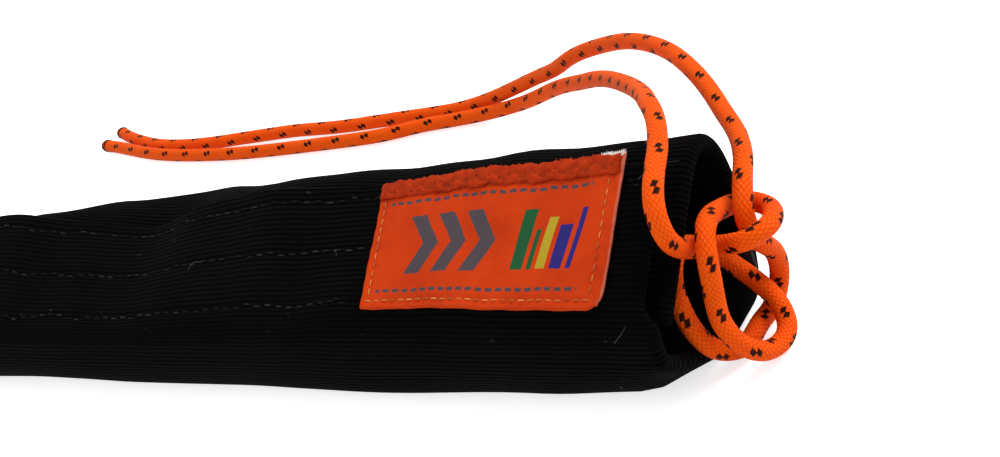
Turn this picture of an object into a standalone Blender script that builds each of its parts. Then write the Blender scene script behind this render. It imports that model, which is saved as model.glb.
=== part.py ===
"""Rope protector sleeve: a ribbed canvas tube that wraps round a climbing rope, closed along its
length by an overlapping flap with hook and loop tape, with a sewn label and an accessory cord
hitched round the rope's way out of the mouth.

Metres, +Z up. The tube lies along X with its tied mouth at +X. The origin is under the middle
of the sleeve, on the surface that it lies on. The closure runs along the -Y side.
"""
import math

import bmesh
import bpy
import numpy as np
from mathutils import Matrix

# Driving dimensions of the canvas tube
SLEEVE_LENGTH = 0.500
SLEEVE_WIDTH = 0.0366
SLEEVE_HEIGHT = 0.0316
CLOTH = 0.0012
FOLD_Y_SHARE = -0.48634
HINGE_Z_SHARE = 0.37975
FOLD_Y = FOLD_Y_SHARE * SLEEVE_WIDTH
HINGE_Z = HINGE_Z_SHARE * SLEEVE_HEIGHT
HINGE_STRAIGHT = 0.0015
LIP_CURL = 0.0088
STATION_STEP = 0.0122

# Closure: hook tape under the flap, loop tape on the layer that the flap covers
TAPE_WIDTH = 0.0200
HOOK_THICKNESS = 0.0010
LOOP_THICKNESS = 0.0009
TAPE_MARGIN = 0.0010
FREE_EDGE = 0.0025
UNDER_EDGE = 0.0005
CLEARANCE = 0.0003
LAYER_DEPTH = CLOTH + HOOK_THICKNESS + LOOP_THICKNESS + 3 * CLEARANCE
STITCH_SPAN = TAPE_WIDTH - 2 * TAPE_MARGIN
FLAP_REACH = STITCH_SPAN + FREE_EDGE

# Hems at both ends and the setback of the flap's ends from the tube's ends
HEM_WIDTH = 0.0100
HEM_CLEARANCE = 0.0004
HEM_SETBACK = 0.0003
HEM_REST = 0.0012
FLAP_SETBACK = 0.0025

# Label sewn over the closure near the mouth
LABEL_WIDTH = 0.0450
LABEL_HEIGHT = 0.0235
LABEL_THICKNESS = 0.0005
LABEL_SETBACK = 0.0070
LABEL_DROP = 0.0015
LABEL_TAPER = 0.0022

# Accessory cord and the rope space that it is hitched round
CORD_DIAMETER = 0.0030
ROPE_SPACE = 0.0120
ROPE_SLACK = 0.0002
HITCH_REACH = 0.0053
WIND_GAP = 0.0010
WIND_STEP = 0.0021
TAIL_STEP = 0.0075

# Keeper: a webbing tab sewn inside the mouth and to the strand of the hitch that runs behind it
KEEPER_HEIGHT = 0.0040
KEEPER_THICKNESS = 0.0008
KEEPER_SEAT = 0.0045
KEEPER_LAP = 0.0042
KEEPER_PULL_SHARES = (0.9, 0.9)

# Shares of SLEEVE_WIDTH (across) and SLEEVE_HEIGHT (up) at stations along the tube: place along
# the half length, lowest stitch row across and up, far side across and up, the two edges of the
# strip that lies on the ground, and how deep the flap's free edge is dented in. The last two are
# how full the crown and the near wall are: the pulls at their ends, as shares of the chord.
SECTION_SHARES = (
    (-1.000, -0.385, 0.610, 0.505, 0.520, 0.300, -0.230, 0.000, 1.70, 1.00),
    (-0.900, -0.385, 0.600, 0.510, 0.500, 0.300, -0.230, 0.000, 1.60, 1.00),
    (-0.600, -0.385, 0.550, 0.545, 0.430, 0.310, -0.230, 0.020, 1.60, 1.00),
    (-0.250, -0.385, 0.560, 0.535, 0.430, 0.310, -0.230, 0.000, 1.35, 1.00),
    (0.100, -0.385, 0.545, 0.545, 0.430, 0.310, -0.230, 0.015, 1.55, 1.00),
    (0.420, -0.385, 0.553, 0.530, 0.430, 0.310, -0.235, 0.000, 1.30, 1.00),
    (0.545, -0.385, 0.535, 0.540, 0.445, 0.310, -0.255, 0.024, 2.15, 1.00),
    (0.655, -0.385, 0.575, 0.545, 0.450, 0.310, -0.270, 0.000, 1.45, 1.00),
    (0.715, -0.385, 0.600, 0.545, 0.460, 0.310, -0.280, 0.000, 1.32, 1.00),
    (0.780, -0.385, 0.640, 0.530, 0.480, 0.310, -0.290, 0.000, 1.62, 1.00),
    (0.900, -0.385, 0.620, 0.512, 0.520, 0.300, -0.260, 0.000, 1.70, 1.00),
    (0.965, -0.385, 0.620, 0.510, 0.520, 0.300, -0.220, 0.000, 1.84, 0.90),
    (1.000, -0.392, 0.624, 0.478, 0.520, 0.290, 0.000, 0.000, 1.90, 0.40),
)
# Tilt of the closure from the horizontal at the same stations, in degrees
SECTION_TILTS = (33.0, 32.0, 22.0, 31.0, 25.0, 32.0, 20.0, 33.5, 36.0, 29.0, 34.0, 34.0, 35.0)
# Pull of the other curves' ends, as shares of the chord between them
SIDE_PULL_SHARES = (1.05, 1.00)
FLAP_PULL_SHARES = (0.70, 1.15)

# Number of faces along each stretch of a section
UNDER_FACES = 3
CROWN_FACES = 10
SIDE_FACES = 4
FLOOR_FACES = 1
FOLD_FACES = 6
FLAP_TURN_FACES = 4
FLAP_FACES = 5
TAPE_FACES = 5

# Colours (linear) and roughness
CANVAS_BLACK = (0.012, 0.012, 0.014)
HOOK_BLACK = (0.020, 0.020, 0.022)
LOOP_BLACK = (0.016, 0.016, 0.018)
WEBBING_BLACK = (0.022, 0.022, 0.024)
LABEL_ORANGE = (0.62, 0.13, 0.045)
CORD_ORANGE = (0.95, 0.16, 0.015)
CLOTH_ROUGHNESS = 0.9
CORD_ROUGHNESS = 0.65

HALF = SLEEVE_LENGTH / 2
CORD_RADIUS = CORD_DIAMETER / 2
WIND_RADIUS = ROPE_SPACE / 2 + ROPE_SLACK + CORD_RADIUS
ROPE_Z = WIND_RADIUS + CORD_RADIUS + CLEARANCE
HITCH_X = HALF + HITCH_REACH

# The hitch, in order along the cord. The wraps are places round the rope space: turn from the
# top towards the far side in degrees, place along the rope from HITCH_X and distance out past
# WIND_RADIUS. The other lists are hand-chosen places along, across and up from the middle of
# the rope space at HITCH_X.
LEAD_IN = (
    (-0.0055, 0.0002, 0.0237),
    (-0.0045, -0.0026, 0.0233),
    (-0.0034, -0.0056, 0.0226),
    (-0.0024, -0.0080, 0.0209),
    (-0.0017, -0.0089, 0.0184),
    (-0.0016, -0.0080, 0.0158),
    (-0.0018, -0.0058, 0.0133),
    (-0.0018, -0.0030, 0.0111),
    (-0.0012, -0.0006, 0.0097),
)
BIGHT = (
    (0.0008, 0.0002, 0.0092),
    (0.0030, -0.0002, 0.0097),
    (0.0052, -0.0004, 0.0104),
    (0.0068, 0.0008, 0.0109),
    (0.0070, 0.0034, 0.0107),
    (0.0056, 0.0066, 0.0103),
    (0.0032, 0.0088, 0.0100),
    (0.0006, 0.0094, 0.0102),
    (-0.0014, 0.0078, 0.0109),
    (-0.0022, 0.0046, 0.0120),
    (-0.0022, 0.0008, 0.0132),
)
WRAPS = (
    (-15, -0.0016, 0.0056),
    (-28, -0.0012, 0.0040),
    (-40, -0.0010, 0.0021),
    (-52, -0.0011, 0.0006),
    (-66, -0.0010, 0.0),
    (-82, -0.0005, 0.0),
    (-102, 0.0005, 0.0),
    (-123, 0.0016, 0.0),
    (-145, 0.0026, 0.0),
    (-167, 0.0033, 0.0),
    (-189, 0.0036, 0.0),
    (-211, 0.0026, 0.0),
    (-232, 0.0005, 0.0),
    (-252, -0.0022, 0.0),
    (-272, -0.0048, 0.0),
    (-293, -0.0064, 0.0),
    (-315, -0.0074, 0.0),
    (-337, -0.0079, 0.0),
    (-358, -0.0080, 0.0),
    (-380, -0.0074, 0.0),
    (-399, -0.0067, 0.0),
    (-417, -0.0058, 0.0),
    (-436, -0.0048, 0.0),
    (-454, -0.0039, 0.0),
    (-474, -0.0030, 0.0),
    (-495, -0.0020, 0.0),
    (-517, -0.0008, 0.0),
    (-538, 0.0000, 0.0006),
    (-558, 0.0002, 0.0020),
    (-577, 0.0007, 0.0036),
    (-593, 0.0013, 0.0040),
    (-610, 0.0020, 0.0034),
    (-630, 0.0026, 0.0020),
    (-650, 0.0029, 0.0006),
    (-670, 0.0029, 0.0001),
    (-684, 0.0028, 0.0006),
)
LEAD_OUT = (
    (0.0029, 0.0043, 0.0088),
    (0.0028, 0.0043, 0.0106),
    (0.0026, 0.0053, 0.0126),
    (0.0020, 0.0076, 0.0141),
    (0.0010, 0.0106, 0.0147),
)
SETTLE_ROUNDS = 600
SETTLE_SHARE = 0.6
RETURN_SHARE = 0.005

# Where the tails lie after the hitch, along from HITCH_X, across and up: over the mouth, down
# behind the sleeve and away along the ground, side by side.
LEFT_TAIL = (
    (-0.0127, 0.0144, 0.0342),
    (-0.0175, 0.0215, 0.0320),
    (-0.0227, 0.0283, 0.0296),
    (-0.0282, 0.0348, 0.0272),
    (-0.0340, 0.0411, 0.0248),
    (-0.0400, 0.0472, 0.0223),
    (-0.0463, 0.0529, 0.0196),
    (-0.0528, 0.0581, 0.0166),
    (-0.0596, 0.0631, 0.0137),
    (-0.0667, 0.0673, 0.0107),
    (-0.0740, 0.0711, 0.0073),
    (-0.0818, 0.0741, 0.0044),
    (-0.0904, 0.0755, 0.0025),
    (-0.0992, 0.0754, 0.0017),
    (-0.1079, 0.0739, 0.0017),
    (-0.1164, 0.0714, 0.0017),
    (-0.1252, 0.0703, 0.0017),
    (-0.1341, 0.0696, 0.0017),
    (-0.1429, 0.0691, 0.0017),
    (-0.1518, 0.0687, 0.0017),
    (-0.1607, 0.0687, 0.0017),
    (-0.1695, 0.0692, 0.0017),
    (-0.1784, 0.0701, 0.0017),
    (-0.1871, 0.0715, 0.0017),
    (-0.1957, 0.0737, 0.0017),
    (-0.2042, 0.0763, 0.0017),
    (-0.2128, 0.0786, 0.0017),
)
RIGHT_TAIL = (
    (-0.0044, 0.0215, 0.0247),
    (-0.0098, 0.0288, 0.0256),
    (-0.0156, 0.0357, 0.0268),
    (-0.0219, 0.0423, 0.0273),
    (-0.0286, 0.0484, 0.0268),
    (-0.0359, 0.0539, 0.0256),
    (-0.0432, 0.0589, 0.0235),
    (-0.0508, 0.0633, 0.0208),
    (-0.0587, 0.0668, 0.0178),
    (-0.0661, 0.0702, 0.0138),
    (-0.0739, 0.0737, 0.0105),
    (-0.0820, 0.0763, 0.0073),
    (-0.0904, 0.0785, 0.0043),
    (-0.0992, 0.0795, 0.0022),
    (-0.1083, 0.0791, 0.0017),
    (-0.1174, 0.0783, 0.0017),
    (-0.1265, 0.0774, 0.0017),
    (-0.1356, 0.0769, 0.0017),
    (-0.1448, 0.0771, 0.0017),
    (-0.1539, 0.0765, 0.0017),
    (-0.1630, 0.0756, 0.0017),
    (-0.1721, 0.0748, 0.0017),
    (-0.1812, 0.0749, 0.0017),
    (-0.1905, 0.0762, 0.0017),
    (-0.1995, 0.0790, 0.0017),
    (-0.2080, 0.0826, 0.0017),
    (-0.2125, 0.0850, 0.0017),
)


def clear_scene():
    """Remove every object that the file starts with."""
    for item in list(bpy.data.objects):
        bpy.data.objects.remove(item, do_unlink=True)


def finish(name, colour, roughness):
    """A Principled BSDF material in one colour."""
    material = bpy.data.materials.new(name)
    material.use_nodes = True
    shader = material.node_tree.nodes["Principled BSDF"]
    shader.inputs["Base Color"].default_value = (*colour, 1.0)
    shader.inputs["Roughness"].default_value = roughness
    shader.inputs["Metallic"].default_value = 0.0
    return material


def place(name, data, material):
    """Link an object that holds the data, with its material."""
    item = bpy.data.objects.new(name, data)
    item.data.materials.append(material)
    bpy.context.scene.collection.objects.link(item)
    return item


def hermite(start, start_way, end, end_way, pulls, faces):
    """Points of a cubic from start to end, leaving and arriving along the two ways.

    Each way is a unit vector and its pull is a share of the chord. The first point is left out.
    """
    chord = np.linalg.norm(end - start)
    t = np.linspace(0.0, 1.0, faces + 1)[1:, None]
    leave = start_way * chord * pulls[0]
    arrive = end_way * chord * pulls[1]
    return (
        (2 * t**3 - 3 * t**2 + 1) * start
        + (t**3 - 2 * t**2 + t) * leave
        + (3 * t**2 - 2 * t**3) * end
        + (t**3 - t**2) * arrive
    )


def section_values(x):
    """Shares and tilt at a place along the tube, eased between the two stations around it."""
    places = [row[0] for row in SECTION_SHARES]
    share = min(max(x / HALF, places[0]), places[-1])
    k = min(max(int(np.searchsorted(places, share)) - 1, 0), len(places) - 2)
    t = (share - places[k]) / (places[k + 1] - places[k])
    t = t * t * (3 - 2 * t)
    values = np.array(SECTION_SHARES[k][1:]) * (1 - t) + np.array(SECTION_SHARES[k + 1][1:]) * t
    tilt = SECTION_TILTS[k] * (1 - t) + SECTION_TILTS[k + 1] * t
    return values, math.radians(tilt)


def closure_line(x, places, depth):
    """Points (y, z) along the closure at x, at these places up from the lowest stitch row.

    The depth is measured in from the flap's outer face. A dent bends the line in towards the
    free edge, as the square of the place.
    """
    (seam_y, seam_z, _, _, _, _, dent, _, _), tilt = section_values(x)
    seam = np.array([seam_y * SLEEVE_WIDTH, seam_z * SLEEVE_HEIGHT])
    up = np.array([math.cos(tilt), math.sin(tilt)])
    out = np.array([-math.sin(tilt), math.cos(tilt)])
    places = np.asarray(places, float)[:, None]
    dip = dent * SLEEVE_HEIGHT * (places / FLAP_REACH) * np.abs(places / FLAP_REACH)
    return seam + up * places - out * (dip + depth)


def panel_line(x):
    """Outer points (y, z) of the tube's panel at x.

    From the edge that the flap covers, up over the crown, down the far side, along the ground
    and up the near side to the fold.
    """
    (_, _, far_y, far_z, ground_far, ground_near, _, full, near_full), _ = section_values(x)
    under = closure_line(
        x,
        np.linspace(-TAPE_MARGIN - UNDER_EDGE, STITCH_SPAN + TAPE_MARGIN, UNDER_FACES + 1),
        LAYER_DEPTH,
    )
    rise = under[-1] - under[-2]
    rise = rise / np.linalg.norm(rise)
    far = np.array([far_y * SLEEVE_WIDTH, far_z * SLEEVE_HEIGHT])
    far_foot = np.array([ground_far * SLEEVE_WIDTH, 0.0])
    near_foot = np.array([ground_near * SLEEVE_WIDTH, 0.0])
    fold_low = np.array([FOLD_Y, HINGE_Z - HINGE_STRAIGHT])
    fold_top = np.array([FOLD_Y, HINGE_Z - CLEARANCE / 2])
    down, near, up = np.array([0.0, -1.0]), np.array([-1.0, 0.0]), np.array([0.0, 1.0])
    crown = hermite(under[-1], rise, far, down, (full, full), CROWN_FACES)
    side = hermite(far, down, far_foot, near, SIDE_PULL_SHARES, SIDE_FACES)
    ground = np.linspace(far_foot, near_foot, FLOOR_FACES + 1)[1:]
    fold = hermite(near_foot, near, fold_low, up, (near_full, near_full), FOLD_FACES)
    line = np.concatenate([under, crown, side, ground, fold, fold_top[None]])
    line[:, 1] = np.maximum(line[:, 1], 0.0)
    return line


def flap_line(x):
    """Outer points (y, z) of the closure flap at x, from the fold to its free edge."""
    fold = np.array([[FOLD_Y, HINGE_Z + CLEARANCE / 2], [FOLD_Y, HINGE_Z + HINGE_STRAIGHT]])
    closure = closure_line(x, np.linspace(0.0, FLAP_REACH, FLAP_FACES + 1), 0.0)
    rise = closure[1] - closure[0]
    rise = rise / np.linalg.norm(rise)
    up = np.array([0.0, 1.0])
    turn = hermite(fold[-1], up, closure[0], rise, FLAP_PULL_SHARES, FLAP_TURN_FACES)
    return np.concatenate([fold, turn, closure[1:]])


def stations():
    """Places along X where every lofted piece has a row of points."""
    curl = HALF - LIP_CURL
    count = math.ceil(2 * curl / STATION_STEP)
    middle = np.linspace(-curl, curl, count + 1)
    return np.concatenate([[-HALF], middle, [HALF - LIP_CURL / 2, HALF]])


def row_at(line_of, x):
    """The line at x on the faceted tube: straight between the rows at its two stations."""
    rows = stations()
    k = min(max(int(np.searchsorted(rows, x)) - 1, 0), len(rows) - 2)
    t = (x - rows[k]) / (rows[k + 1] - rows[k])
    return line_of(rows[k]) * (1 - t) + line_of(rows[k + 1]) * t


def inset(line, depth):
    """The line (y, z) moved in from the outer face by the depth, along its own normals."""
    way = np.gradient(line, axis=0)
    before = np.diff(line, axis=0, prepend=line[:1] - (line[1:2] - line[:1]))
    after = np.diff(line, axis=0, append=line[-1:] + (line[-1:] - line[-2:-1]))
    before = before / np.linalg.norm(before, axis=1)[:, None]
    after = after / np.linalg.norm(after, axis=1)[:, None]
    way = before + after
    way = way / np.linalg.norm(way, axis=1)[:, None]
    inward = np.stack([way[:, 1], -way[:, 0]], axis=1)
    widen = 1.0 / np.maximum((way * after).sum(axis=1), 0.5)
    return line + inward * (depth * widen)[:, None]


def span(start, end):
    """The places along X from start to end, with every station between them."""
    between = [x for x in stations() if start < x < end]
    return np.array([start, *between, end])


def loft(name, line_of, places, thickness, material):
    """A cloth piece: a line drawn at the first place and extruded to each next one.

    The line is the piece's outer face, and a Solidify modifier gives the thickness inwards.
    """
    mesh = bpy.data.meshes.new(name)
    bm = bmesh.new()
    first = [bm.verts.new((places[0], y, z)) for y, z in line_of(places[0])]
    edges = [bm.edges.new(pair) for pair in zip(first, first[1:])]
    for x in places[1:]:
        made = bmesh.ops.extrude_edge_only(bm, edges=edges)["geom"]
        verts = chain(first, made)
        for vert, (y, z) in zip(verts, line_of(x)):
            vert.co = (x, y, z)
        edges = [bm.edges.get(pair) for pair in zip(verts, verts[1:])]
        first = verts
    bm.normal_update()
    turn_outwards(bm, line_of(places[0]))
    bm.to_mesh(mesh)
    bm.free()
    item = place(name, mesh, material)
    mesh.shade_smooth()
    wall = item.modifiers.new("thickness", "SOLIDIFY")
    wall.thickness = thickness
    wall.offset = -1.0
    wall.use_even_offset = True
    wall.use_quality_normals = True
    return item


def chain(last, made):
    """The new vertices of an extruded line, in the order of the line they came from."""
    fresh = {item for item in made if isinstance(item, bmesh.types.BMVert)}
    ordered = []
    for vert in last:
        for edge in vert.link_edges:
            other = edge.other_vert(vert)
            if other in fresh:
                ordered.append(other)
                break
    return ordered


def turn_outwards(bm, line):
    """Make the faces point out of the tube: along X crossed with the way that the line runs."""
    bmesh.ops.recalc_face_normals(bm, faces=bm.faces)
    bm.faces.ensure_lookup_table()
    corner = min(bm.faces, key=lambda f: (f.calc_center_median().x, -f.calc_center_median().z))
    middle = corner.calc_center_median()
    nearest = min(range(len(line) - 1), key=lambda k: abs(line[k][0] + line[k + 1][0]
                  - 2 * middle.y) + abs(line[k][1] + line[k + 1][1] - 2 * middle.z))
    way = line[nearest + 1] - line[nearest]
    if corner.normal.y * -way[1] + corner.normal.z * way[0] < 0:
        bmesh.ops.reverse_faces(bm, faces=bm.faces)


def smooth_route(points, step):
    """Points about a step apart on the natural cubic spline through the route's own points."""
    points = np.asarray(points, float)
    chords = np.linalg.norm(np.diff(points, axis=0), axis=1) ** 0.5
    knots = np.concatenate([[0.0], np.cumsum(chords)])
    gaps = np.diff(knots)
    count = len(points)
    matrix = np.eye(count)
    right = np.zeros((count, 3))
    slopes = np.diff(points, axis=0) / gaps[:, None]
    for k in range(1, count - 1):
        matrix[k, k - 1 : k + 2] = gaps[k - 1], 2 * (gaps[k - 1] + gaps[k]), gaps[k]
        right[k] = 6 * (slopes[k] - slopes[k - 1])
    bends = np.linalg.solve(matrix, right)
    t = np.linspace(0.0, knots[-1], 40 * count)
    k = np.clip(np.searchsorted(knots, t) - 1, 0, count - 2)
    a = ((knots[k + 1] - t) / gaps[k])[:, None]
    b = 1 - a
    bow = ((a**3 - a) * bends[k] + (b**3 - b) * bends[k + 1]) * (gaps[k] ** 2)[:, None] / 6
    fine = a * points[k] + b * points[k + 1] + bow
    return spaced(fine, step)


def spaced(line, step):
    """The line again, with points an even distance apart, about a step."""
    along = np.concatenate([[0.0], np.cumsum(np.linalg.norm(np.diff(line, axis=0), axis=1))])
    at = np.linspace(0.0, along[-1], max(2, round(along[-1] / step)) + 1)
    return np.stack([np.interp(at, along, line[:, k]) for k in range(3)], axis=1)


def length_of(line):
    """Length along the points."""
    return float(np.linalg.norm(np.diff(line, axis=0), axis=1).sum())


def hitch_route():
    """The hitch's points, first as drawn and then settled as a cord would settle.

    Each round pushes apart strands that come nearer than a diameter and the winding gap, eases
    the push along the cord, and keeps the cord off the rope space and the ground.
    """
    middle = np.array([HITCH_X, 0.0, ROPE_Z])
    wraps = []
    for turn, along, past in WRAPS:
        angle = math.radians(turn)
        radius = WIND_RADIUS + past
        wraps.append([along, radius * math.sin(angle), radius * math.cos(angle)])
    line = smooth_route(middle + np.array([*LEAD_IN, *BIGHT, *wraps, *LEAD_OUT]), WIND_STEP)
    drawn = line.copy()
    apart = CORD_DIAMETER + WIND_GAP
    low, high = np.triu_indices(len(line), 1)
    away = (high - low) * WIND_STEP > 2.6 * apart
    low, high = low[away], high[away]
    for _ in range(SETTLE_ROUNDS):
        reach = line[high] - line[low]
        distance = np.linalg.norm(reach, axis=1)
        near = distance < apart
        push = reach[near] / distance[near][:, None] * ((apart - distance[near]) / 2)[:, None]
        np.add.at(line, low[near], -push)
        np.add.at(line, high[near], push)
        shift = line - drawn
        shift[1:-1] += SETTLE_SHARE * ((shift[:-2] + shift[2:]) / 2 - shift[1:-1])
        shift[0] = shift[1] / 2
        shift[-1] = shift[-2] / 2
        line = drawn + shift * (1 - RETURN_SHARE)
        out = line[:, 1:] - [0.0, ROPE_Z]
        grow = np.maximum(WIND_RADIUS / np.linalg.norm(out, axis=1), 1.0)
        line[:, 1:] = [0.0, ROPE_Z] + out * grow[:, None]
        line[:, 2] = np.maximum(line[:, 2], CORD_RADIUS + CLEARANCE)
    return line


def least_gap(line):
    """The least gap between the tube's own strands, measured on closely spaced points."""
    fine = spaced(line, CORD_DIAMETER / 8)
    step = length_of(fine) / (len(fine) - 1)
    low, high = np.triu_indices(len(fine), 1)
    away = (high - low) * step > 2.6 * CORD_DIAMETER
    distance = np.linalg.norm(fine[high[away]] - fine[low[away]], axis=1)
    return float(distance.min()) - CORD_DIAMETER


def straight_ends(line):
    """The line with each end run on straight for one cord diameter."""
    first = (line[0] - line[1]) / np.linalg.norm(line[0] - line[1])
    last = (line[-1] - line[-2]) / np.linalg.norm(line[-1] - line[-2])
    return np.concatenate(
        [[line[0] + first * CORD_DIAMETER], line, [line[-1] + last * CORD_DIAMETER]]
    )


def tube(name, line, sides, material):
    """A round tube along the points, as a bevelled poly curve with filled ends."""
    curve = bpy.data.curves.new(name, "CURVE")
    curve.dimensions = "3D"
    spline = curve.splines.new("POLY")
    spline.points.add(len(line) - 1)
    spline.points.foreach_set("co", np.c_[line, np.ones(len(line))].ravel())
    curve.bevel_depth = CORD_RADIUS
    curve.bevel_resolution = sides
    curve.use_fill_caps = True
    spline.use_smooth = True
    return place(name, curve, material)


def tail(name, end, before, route, material):
    """A free tail: it meets the hitch's end face to face and then follows its route."""
    way = (end - before) / np.linalg.norm(end - before)
    start = end + way * CLEARANCE
    points = np.array([HITCH_X, 0.0, 0.0]) + np.array(route)
    line = smooth_route([start, start + way * CORD_DIAMETER, *points], TAIL_STEP)
    print(f"{name}: {length_of(line) * 1000:.0f} mm long, {len(line)} points")
    return tube(name, line, 2, material)


def far_wall(x, height, depth):
    """How far across the far side's face is at this height, this depth in from its outside."""
    line = inset(row_at(panel_line, x), depth)
    line = line[UNDER_FACES + CROWN_FACES :]
    order = np.argsort(line[: SIDE_FACES + 1, 1])
    return float(np.interp(height, line[order, 1], line[order, 0]))


def keeper(hitch, material):
    """The keeper: flat on the mouth's hem, then across to the strand that runs behind the rope.

    It stands on edge, against the far side of the strand where it passes beside the rope.
    """
    strand = max((p for p in hitch if p[0] < HALF + CORD_DIAMETER), key=lambda p: p[1])
    low = strand[2] - KEEPER_HEIGHT / 2
    lap = strand[1] + CORD_RADIUS + CLEARANCE + KEEPER_THICKNESS / 2
    start = HALF - HEM_WIDTH + CLEARANCE
    inner_face = 2 * CLOTH + HEM_CLEARANCE + CLEARANCE + KEEPER_THICKNESS / 2
    wall = min(
        far_wall(x, z, inner_face)
        for x in (start, start + KEEPER_SEAT)
        for z in (low, low + KEEPER_HEIGHT)
    )
    seat = np.array([[start, wall], [start + KEEPER_SEAT, wall]])
    lap_start = np.array([strand[0] - KEEPER_LAP / 2, lap])
    along = np.array([1.0, 0.0])
    turn = hermite(seat[1], along, lap_start, along, KEEPER_PULL_SHARES, 8)
    line = np.concatenate([seat, turn, [lap_start + along * KEEPER_LAP]])
    return ribbon("cord_keeper", line, low, KEEPER_HEIGHT, KEEPER_THICKNESS, material)


def ribbon(name, line, low, height, thickness, material):
    """A flat band stood on edge: its outline is drawn and extruded up by the height."""
    before = np.diff(line, axis=0, prepend=line[:1] - (line[1:2] - line[:1]))
    after = np.diff(line, axis=0, append=line[-1:] + (line[-1:] - line[-2:-1]))
    before = before / np.linalg.norm(before, axis=1)[:, None]
    after = after / np.linalg.norm(after, axis=1)[:, None]
    way = (before + after) / np.linalg.norm(before + after, axis=1)[:, None]
    side = np.stack([way[:, 1], -way[:, 0]], axis=1)
    side = side * (thickness / 2 / np.maximum((way * after).sum(axis=1), 0.5))[:, None]
    mesh = bpy.data.meshes.new(name)
    bm = bmesh.new()
    left = [bm.verts.new((x, y, low)) for x, y in line + side]
    right = [bm.verts.new((x, y, low)) for x, y in line - side]
    faces = [
        bm.faces.new((left[k], left[k + 1], right[k + 1], right[k])) for k in range(len(line) - 1)
    ]
    made = bmesh.ops.extrude_face_region(bm, geom=faces)["geom"]
    tops = [item for item in made if isinstance(item, bmesh.types.BMVert)]
    bmesh.ops.translate(bm, verts=tops, vec=(0.0, 0.0, height))
    bmesh.ops.recalc_face_normals(bm, faces=bm.faces)
    bm.to_mesh(mesh)
    bm.free()
    return place(name, mesh, material)


def hem(name, line_of, start, end, material):
    """A hem's turned-in layer: the same line, one cloth and a clearance further in.

    It leaves out the straight stretch beside the fold and is a little short of the open edge.
    """

    def inner_line(x):
        line = inset(row_at(line_of, x), CLOTH + HEM_CLEARANCE)
        if line_of is flap_line:
            return drawn_back(line[::-1])[:-1][::-1]
        return drawn_back(line)[:-1]

    return loft(name, inner_line, span(start, end), CLOTH, material)


def drawn_back(line):
    """The line with its first end drawn back along it by HEM_REST."""
    line = line.copy()
    line[0] += (line[1] - line[0]) / np.linalg.norm(line[1] - line[0]) * HEM_REST
    return line


def band(name, low, high, depth, end, thickness, material):
    """A strip along the closure, between two places up from the lowest stitch row."""

    def strip_line(x):
        return closure_line(x, np.linspace(low, high, TAPE_FACES + 1), depth)

    def on_tube(x):
        return row_at(strip_line, x)

    return loft(name, on_tube, span(-end, end), thickness, material)


def label(material):
    """The label: a cloth patch on the flap, a little lower at its far end than at the mouth."""
    end = HALF - LABEL_SETBACK
    start = end - LABEL_WIDTH

    def label_line(x):
        top = LABEL_HEIGHT - LABEL_DROP - LABEL_TAPER * (end - x) / LABEL_WIDTH
        places = np.linspace(-LABEL_DROP, top, FLAP_FACES + 1)
        return row_at(lambda at: closure_line(at, places, -CLEARANCE - LABEL_THICKNESS), x)

    return loft("label", label_line, span(start, end), LABEL_THICKNESS, material)


def sleeve(canvas):
    """The tube's panel with the hems at both its ends."""
    loft("sleeve_panel", panel_line, stations(), CLOTH, canvas)
    inner = HALF - HEM_WIDTH
    edge = HALF - HEM_SETBACK
    hem("mouth_hem", panel_line, inner, edge, canvas)
    hem("far_hem", panel_line, -edge, -inner, canvas)


def flap(canvas, hook, label_cloth):
    """The closure flap with its hems, the hook tape on its inner face and its label."""
    end = HALF - FLAP_SETBACK
    inner = HALF - HEM_WIDTH
    edge = end - HEM_SETBACK
    tape_end = inner - CLEARANCE
    low, high = -TAPE_MARGIN, STITCH_SPAN + TAPE_MARGIN

    def flap_row(x):
        return row_at(flap_line, x)

    pieces = [
        loft("closure_flap", flap_row, span(-end, end), CLOTH, canvas),
        hem("flap_mouth_hem", flap_line, inner, edge, canvas),
        hem("flap_far_hem", flap_line, -edge, -inner, canvas),
        band("hook_tape", low, high, CLOTH + CLEARANCE, tape_end, HOOK_THICKNESS, hook),
        label(label_cloth),
    ]
    hinge = bpy.data.objects.new("closure_hinge", None)
    hinge.location = (0.0, FOLD_Y, HINGE_Z)
    bpy.context.scene.collection.objects.link(hinge)
    for piece in pieces:
        piece.parent = hinge
        piece.matrix_parent_inverse = Matrix.Translation(-hinge.location)


def loop_tape(loop):
    """The loop tape, on the layer of the panel that the flap covers."""
    depth = CLOTH + HOOK_THICKNESS + 2 * CLEARANCE
    low, high = -TAPE_MARGIN, STITCH_SPAN + TAPE_MARGIN
    end = HALF - HEM_WIDTH - CLEARANCE
    band("loop_tape", low, high, depth, end, LOOP_THICKNESS, loop)


def cord(material):
    """The accessory cord: its hitch and its two tails."""
    line = straight_ends(hitch_route())
    print(f"cord_hitch: {length_of(line) * 1000:.0f} mm long, {len(line)} points")
    print(f"cord_hitch: least gap to itself {least_gap(line) * 1000:.2f} mm")
    tube("cord_hitch", line, 1, material)
    tail("cord_tail_left", line[0], line[1], LEFT_TAIL, material)
    tail("cord_tail_right", line[-1], line[-2], RIGHT_TAIL, material)
    return line


def main():
    """Build every piece of the sleeve."""
    clear_scene()
    canvas = finish("canvas", CANVAS_BLACK, CLOTH_ROUGHNESS)
    sleeve(canvas)
    loop_tape(finish("loop", LOOP_BLACK, CLOTH_ROUGHNESS))
    flap(
        finish("flap_canvas", CANVAS_BLACK, CLOTH_ROUGHNESS),
        finish("hook", HOOK_BLACK, CLOTH_ROUGHNESS),
        finish("label_cloth", LABEL_ORANGE, CLOTH_ROUGHNESS),
    )
    hitch = cord(finish("cord", CORD_ORANGE, CORD_ROUGHNESS))
    keeper(hitch, finish("webbing", WEBBING_BLACK, CLOTH_ROUGHNESS))


main()
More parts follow.
